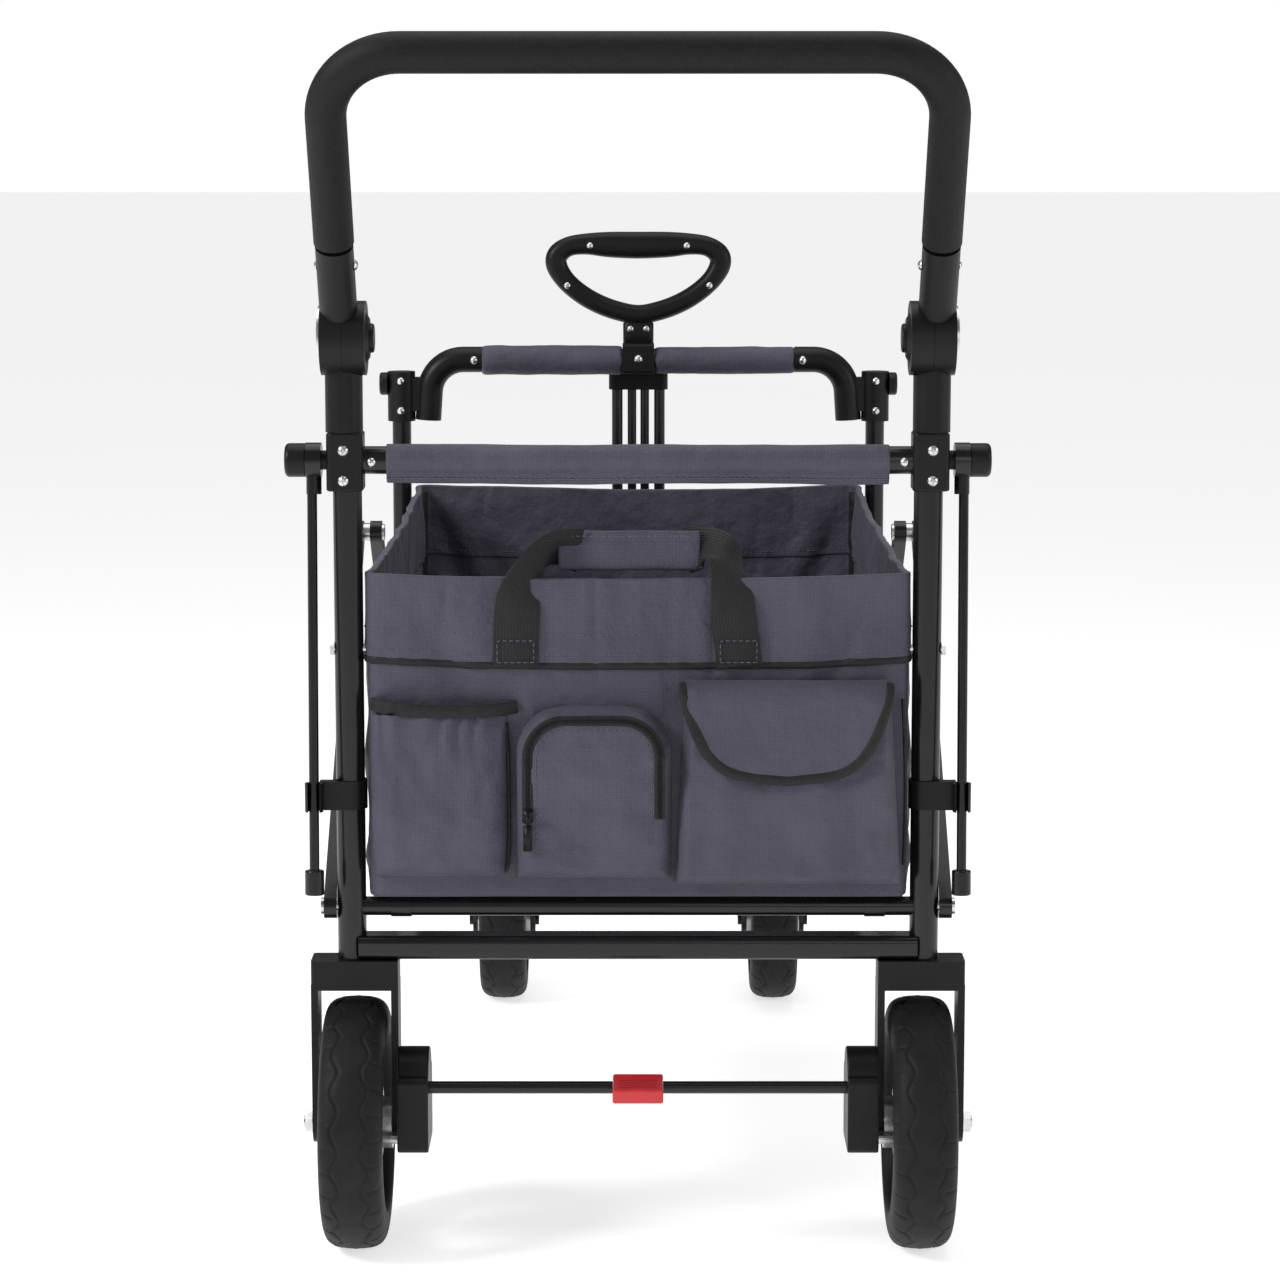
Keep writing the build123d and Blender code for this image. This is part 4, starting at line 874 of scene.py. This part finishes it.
def build_flap_pocket():
    """Box pocket that widens downwards, under a curved flap bound in black."""
    z0, z1 = 314 * MM, 474 * MM

    def outline(u, v):
        left, right = (30 + 9 * v) * MM, (219 - 9 * v) * MM
        return left + (right - left) * u, z0 + (z1 - z0) * v

    def depth(u, v, x, z):
        edge = min((x - outline(0, v)[0]), (outline(1, v)[0] - x), (z - z0), (z1 - z) * 2) / (12 * MM)
        step = rise(edge, 1.0)
        slack = crease(x, 0, z, 16, 5.6 * MM, 11) + crease(x, 0.2, z * 0.6, 36, 2.5 * MM, 14)
        return 1.0 * MM + step * (18 + 5 * (1 - v)) * MM + slack * step

    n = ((70, 60))
    o = patch("flap_pocket", outline, depth, *n)
    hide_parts("pocket_flap")
    left, right, top = 38.0, 207.0, 485.0
    nu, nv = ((64, 34))

    def cover(u, v):
        x = left + (right - left) * u
        z = top + (flap_bottom(u) - top) * v
        over = min(1.0, (top - z) / 16)
        d = 1.5 + 22.5 * rise(over, 1.0) + 1.6 * math.sin(u * 7 + 1) * v
        side = min(1.0, min(u, 1 - u) / 0.07)
        d -= 3.0 * (1 - side) ** 2
        d += crease(x * MM, 0, z * MM, 24, 1.5, 21) * over
        return Vector((x * MM, PANEL_Y - d * MM - 2.4 * MM, z * MM))

    rows = grid(nu, nv, cover)
    flap = add_object("pocket_flap_cover", grid_mesh("pocket_flap_cover", rows), M_FABRIC)
    thicken(flap, 1.8 * MM)
    cloth(flap, rows, "hung", ["flap_pocket"])
    edge = ([rows[i][0] for i in range(3, nv, 3)] + rows[-1][::3]
            + [rows[i][-1] for i in range(nv - 3, 2, -3)])
    path = spline([p + Vector((0, -1.3 * MM, 0)) for p in edge], 150)
    section = [(a * 1.9, b * 0.8) for a, b in round_section(2.3 * MM, 10)]
    sweep("flap_binding", path, section, OUTWARD, M_BINDING)
    row = rows[max(1, nv // 9)]
    stitches("flap_stitches", [p + Vector((0, -1.2 * MM, 0)) for p in row], [OUTWARD] * len(row))
    side = [(221, 2, 330), (222, 3, 380), (221, 3, 430), (219, 2, 470)]
    tape("flap_pocket_piping", side, 3.0 * MM, 2.6 * MM, 40)


# ------------------------------------------------------------------ carry handle
def strap(name, centres, widths, width=38 * MM, thick=1.8 * MM):
    """Webbing ribbon through given centres, each with the direction of its width."""
    last = 69
    path = spline(centres, last + 1)
    n = len(centres) - 1
    ups = []
    for i in range(last + 1):
        t = i / last * n
        k = min(n - 1, int(t))
        w = Vector(widths[k]).lerp(Vector(widths[k + 1]), t - k).normalized()
        a = path[min(i + 1, last)] - path[max(i - 1, 0)]
        ups.append(w.cross(a).normalized())
    return sweep(name, path, flat_section(width, thick), ups, M_WEB)


def build_carry_handle():
    """Two webbing loops sewn to the rear panel, joined over the rim by a wrapped grip."""
    y = PANEL_Y - 6.4 * MM

    def side(name, places, s):
        c = [(x * MM, y + d * MM, z * MM) for x, d, z in places]
        w = [(1, 0, 0), (1, 0, 0), (1, 0.1, 0), (0.85, 0.5, 0.1), (0.5, 0.85, 0.25 * s), (0.1, 0.7, 0.7 * s),
             (0, 0.15, s)]
        return strap(name, c, w)

    left = side("carry_strap_left", [(-101, 1.4, 497), (-100, 0, 530), (-98, -2, 556), (-90, 2, 574),
                                     (-80, 12, 589), (-66, 23, 594), (-48, 25, 591)], -1)
    side("carry_strap_right", [(84, 1.4, 497), (80, 0, 530), (77, -2, 556), (74, 2, 574),
                               (69, 12, 589), (58, 23, 594), (40, 25, 591)], 1)
    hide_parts("carry_handle")
    n = 60
    path = [Vector((-66 * MM + 117 * MM * i / (n - 1), y + 25 * MM + 0.8 * MM * math.sin(i * 0.21), 591 * MM))
            for i in range(n)]
    section = [(16.5 * MM * c, 3.6 * MM * s) for c, s in squircle(28, 0.45, 0.7)]
    lean = Vector((0, -1, 0.2))
    wrap = sweep("carry_wrap", path, section, lean, M_FABRIC)
    for k, dz in enumerate((-12.5, 12.5)):
        line = [p + Vector((0, -3.9 * MM - 0.2 * dz * MM, dz * MM)) for p in path[2:-2]]
        stitches(f"wrap_stitches_{k}", line, [lean.normalized()] * len(line))
    for x0, name in ((-101 * MM, "left"), (83 * MM, "right")):
        box = [Vector((x0 + dx * MM, y - 1.1 * MM, z * MM)) for dx, z in
               ((-15, 501), (15, 501), (15, 519), (-15, 519), (-15, 501))]
        line = []
        for a, b in zip(box, box[1:]):
            line += [a.lerp(b, k / 6) for k in range(6)]
        line.append(box[-1])
        stitches(f"strap_stitches_{name}", line, [OUTWARD] * len(line))


# ------------------------------------------------------------------ sleeves
def build_rear_sleeve():
    """Fabric wrapped round the rear crossbar, with its hem hanging slack underneath."""
    lo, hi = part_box("rear_crossbar_sleeve")
    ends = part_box("rear_corner_connectors")
    cz = (ends[0].z + ends[1].z) / 2 + 0.7 * MM
    r0 = 12.9 * MM
    n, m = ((110, 40))

    def round_bar(u, v):
        a = math.radians(-52 + 284 * v)
        x = lo.x + (hi.x - lo.x) * u
        r = r0 + max(-0.6 * MM, crease(x, a * 0.03, 0, 16, 0.9 * MM, 31))
        return Vector((x, REAR_Y + r * math.cos(a), cz + r * math.sin(a)))

    rows = grid(n, m, round_bar)
    head, tail = [], []
    drop = 9.5 * MM
    for k in range(1, 7):
        f = k / 6
        head.append([Vector((p.x, p.y + (REAR_Y + 1.0 * MM - p.y) * f, p.z - drop * f)) for p in rows[0]])
        row = []
        for p in rows[-1]:
            y = p.y + (REAR_Y - 2.5 * MM - p.y) * f
            z = p.z - drop * f + 0.8 * MM * math.sin(p.x * 26) * f
            row.append(Vector((p.x, y + crease(p.x, 0, z, 20, 1.3 * MM, 33) * f, z)))
        tail.append(row)
    o = add_object("rear_sleeve", grid_mesh("rear_sleeve", head[::-1] + rows + tail), M_FABRIC)
    thicken(o, 1.2 * MM, 1)
    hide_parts("rear_crossbar_sleeve")
    cloth(o, head[::-1] + rows + tail, "folded", ["rear_cross_tubes"])
    line = [p + Vector((0, -0.9 * MM, 0)) for p in tail[2]]
    stitches("rear_sleeve_stitches", line, [OUTWARD] * len(line))


def build_front_sleeves():
    """Two fabric tubes on the front rail, drawn in a little at their ends."""
    lo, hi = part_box("front_rail_sleeve")
    y, z = (lo.y + hi.y) / 2, (lo.z + hi.z) / 2
    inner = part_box("pull_handle_catch")[1].x
    n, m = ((60, 28))
    for s in (-1, 1):
        rows = []
        for i in range(n + 1):
            f = i / n
            x = s * (inner + 1 * MM + (hi.x - inner - 1 * MM) * f)
            row = []
            for j in range(m):
                a = 2 * math.pi * j / m
                r = 13.0 * MM - 1.2 * MM * (1 - rise(min(f, 1 - f), 0.05))
                r += crease(x, math.cos(a) * 0.02, math.sin(a) * 0.02, 30, 0.8 * MM, 41)
                droop = 1.5 * MM * max(0, -math.sin(a))
                row.append(Vector((x, y + r * math.cos(a), z + (r + droop) * math.sin(a))))
            rows.append(row)
        o = add_object(f"front_sleeve_{'left' if s < 0 else 'right'}",
                       grid_mesh("front_sleeve", rows, close_u=True), M_FABRIC, "front_frame")
        thicken(o, 1.1 * MM, smooth=False)
        cloth(o, rows, "folded", ["front_cross_tubes"], close=True)
    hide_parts("front_rail_sleeve")


# ------------------------------------------------------------------ tyres
def groove(theta, x, half, r):
    """Depth of the tread at an angle and a place across the tyre, in metres."""
    arc = theta * r
    wave = 3.0 * MM * math.sin(arc / (5.4 * MM))
    depth = 0.0
    for side in (-1, 1):
        d = abs(x - side * (half * 0.46) - side * wave)
        depth = max(depth, 1.7 * MM * max(0.0, 1 - d / (1.7 * MM)))
        tick = (arc / (22.6 * MM) + (0.25 if side > 0 else 0)) % 1.0
        if side * x > half * 0.56 and abs(tick - 0.5) < 0.045:
            depth = max(depth, 1.1 * MM)
    return depth - (0.35 * MM if abs(x) < 0.5 * MM else 0)  # the mould line down the middle


def build_tyre(node, body):
    """Foamed tyre with its tread cut into the rounded crown."""
    lo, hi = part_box(node)
    cx, cy, cz = (lo + hi) / 2
    half, r = (hi.x - lo.x) / 2, (hi.z - lo.z) / 2
    rim_lo, rim_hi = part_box(node.replace("tyre", "rim"))
    rim_r = (rim_hi.z - rim_lo.z) / 2
    sect = []
    n_sect = 64
    for i in range(n_sect + 1):
        a = math.pi * (i / n_sect)
        x = -half * math.copysign(abs(math.cos(a)) ** 0.7, math.cos(a))
        bulge = abs(math.sin(a)) ** 0.45
        sect.append((x, rim_r + 4 * MM + (r - rim_r - 4 * MM) * bulge))
    sect = [(-half + 5 * MM, rim_r)] + sect + [(half - 5 * MM, rim_r)]
    m = 420
    rows = []
    for k in range(m):
        t = 2 * math.pi * k / m
        row = []
        for x, rad in sect:
            cut = groove(t, x, half, r) if rad > r - 16 * MM else 0.0
            rr = rad - cut
            row.append(Vector((cx + x, cy + rr * math.cos(t), cz + rr * math.sin(t))))
        rows.append(row)
    rows.append(rows[0])
    rows = [row + [row[0]] for row in rows]
    mesh = edited(grid_mesh(node + "_tread", rows), weld=True, outward=True)
    o = add_object(node + "_tread", mesh, M_TYRE, body)
    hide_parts(node)


def build_hub_cap(node, body):
    """Black cap on the outer side of a rim's hub; the inner side holds the brake's lock ring."""
    lo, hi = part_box(node)
    cx, cy, cz = (lo + hi) / 2
    s = 1 if cx > 0 else -1
    face = s * 15.5 * MM
    sect = [(face, 25 * MM), (face + s * 2.2 * MM, 23.5 * MM), (face + s * 2.8 * MM, 19 * MM),
            (face + s * 2.8 * MM, 10.5 * MM), (face - s * 4 * MM, 10.5 * MM), (face - s * 4 * MM, 25 * MM)]
    sect.append(sect[0])
    rows = []
    for k in range(49):
        t = 2 * math.pi * k / 48
        rows.append([Vector((cx + x, cy + q * math.cos(t), cz + q * math.sin(t))) for x, q in sect])
    mesh = edited(grid_mesh(f"{node}_cap", rows), weld=True, outward=True)
    add_object(f"{node}_cap", mesh, M_PLASTIC, body)


# ------------------------------------------------------------------ pull grip
def squircle(n, power, power_out=None):
    """Points (across, out) round a rounded square of half-size 1, squarer as its powers get smaller."""
    out = []
    for k in range(n):
        c, s = math.cos(2 * math.pi * k / n), math.sin(2 * math.pi * k / n)
        out.append((math.copysign(abs(c) ** power, c), math.copysign(abs(s) ** (power_out or power), s)))
    return out


def build_pull_grip():
    """D-shaped grip: a thick top bar, slimmer sides that meet below, and a neck with a collar."""
    lo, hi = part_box("pull_handle_grip")
    y, top = (lo.y + hi.y) / 2, hi.z
    # across, below the top, half-thickness (mm)
    right = [(0, 13.8, 13.6), (30, 13.2, 12.9), (52, 12.6, 10.8), (70, 15, 10), (81.5, 23, 10.8),
             (83, 34, 10.8), (75, 48, 10), (61, 61, 9.8), (43, 72, 9.8), (22, 80, 9.8), (0, 84, 9.8)]
    ring = right + [(-x, d, w) for x, d, w in right[-2:0:-1]]
    path = spline([(x * MM, w * MM, top - d * MM) for x, d, w in ring], 180, closed=True)[:-1]
    centre = Vector((0, y, top - 42 * MM))
    rows = []
    n = len(path)
    for i, p in enumerate(path):
        run = path[(i + 1) % n] - path[i - 1]
        out = Vector((run.z, 0, -run.x)).normalized()
        place = Vector((p.x, y, p.z))
        if out.dot(place - centre) < 0:
            out = -out
        rows.append([place + out * p.y * c + Vector((0, 12 * MM * s, 0)) for c, s in squircle(24, 0.75)])
    rows.append(rows[0])
    mesh = edited(grid_mesh("pull_grip", rows, close_u=True), weld=True, outward=True)
    grip = add_object("pull_grip", mesh, M_PLASTIC, "pull_extension")
    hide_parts("pull_handle_grip")
    rows = []
    # above the grip's lower end, half-width, half-depth (mm)
    for up, w, d in ((0, 13.5, 7.8), (1.6, 15.5, 8.9), (26, 15.5, 8.9), (27.5, 14, 8), (30, 15, 8.5),
                     (34, 22, 9.5), (37, 27, 9.5)):
        rows.append([Vector((w * MM * c, y + d * MM * s, lo.z + up * MM)) for c, s in squircle(32, 0.5)])
    mesh = edited(grid_mesh("pull_neck", rows, close_u=True), weld=True, fill=True, outward=True)
    add_object("pull_neck", mesh, M_PLASTIC, "pull_extension")


# ------------------------------------------------------------------ scene
def area_light(name, at, target, size, power):
    data = bpy.data.lights.new(name, "AREA")
    data.energy = power
    data.size = size
    o = bpy.data.objects.new(name, data)
    bpy.context.scene.collection.objects.link(o)
    o.location = at
    o.rotation_euler = (Vector(target) - Vector(at)).to_track_quat("-Z", "Y").to_euler()


def build_stage():
    bpy.ops.mesh.primitive_plane_add(size=80, location=(0, 0, 0))
    floor = bpy.context.object
    floor.name = "studio_floor"
    m = Mat("studio_floor", (0.86, 0.86, 0.86), 0.6)
    m.color(m.ramp(m.noise(0.6, 2), [(0.3, (0.86, 0.86, 0.86)), (0.7, (0.89, 0.89, 0.89))]))
    m.b.inputs["Emission Color"].default_value = (1, 1, 1, 1)
    m.b.inputs["Emission Strength"].default_value = 0.66
    floor.data.materials.append(m.m)
    world = bpy.data.worlds.new("studio")
    bpy.context.scene.world = world
    world.use_nodes = True
    tree = world.node_tree
    background = tree.nodes["Background"]
    background.inputs["Color"].default_value = (1, 1, 1, 1)
    seen = tree.nodes.new("ShaderNodeLightPath")
    level = tree.nodes.new("ShaderNodeMapRange")
    level.inputs["To Min"].default_value = 0.25
    level.inputs["To Max"].default_value = 1.0
    tree.links.new(seen.outputs["Is Camera Ray"], level.inputs["Value"])
    tree.links.new(level.outputs["Result"], background.inputs["Strength"])
    area_light("key", (-2.6, -1.7, 2.4), (0, -0.2, 0.5), 1.0, 72)
    area_light("fill", (2.9, -1.2, 1.5), (0, -0.2, 0.5), 1.2, 20)
    area_light("top", (0, 0.2, 2.9), (0, 0, 0.4), 2.4, 30)
    area_light("front_low", (0.6, -3.4, 1.4), (0, 0, 0.5), 1.0, 6)


# the camera model that was fitted to the photo
FOCAL_PX, WIDTH_PX, SENSOR_MM = 3688, 1280, 36
CAMERA_AT = (1.7 * MM, REAR_Y - 3.027, 0.952)
DOWNWARD_DEG = 8.178


def build_camera():
    data = bpy.data.cameras.new("camera")
    data.sensor_width = SENSOR_MM
    data.lens = FOCAL_PX / WIDTH_PX * SENSOR_MM
    cam = bpy.data.objects.new("camera", data)
    bpy.context.scene.collection.objects.link(cam)
    cam.location = CAMERA_AT
    cam.rotation_euler = (math.radians(90 - DOWNWARD_DEG), 0, 0)
    data.clip_end = 100
    bpy.context.scene.camera = cam


dress_cad()
build_basket()
build_elastic_pocket()
build_zip_pocket()
build_flap_pocket()
build_carry_handle()
build_rear_sleeve()
build_front_sleeves()
for side in ("left", "right"):
    build_tyre(f"rear_tyre_{side}", f"rear_wheel_{side}")
    build_tyre(f"front_tyre_{side}", f"front_wheel_{side}")
    build_hub_cap(f"rear_rim_{side}", f"rear_wheel_{side}")
build_pull_grip()
for piece in SOFT_FOLD:
    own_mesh(piece)
build_stage()
build_camera()
bpy.context.scene.view_settings.view_transform = "Standard"
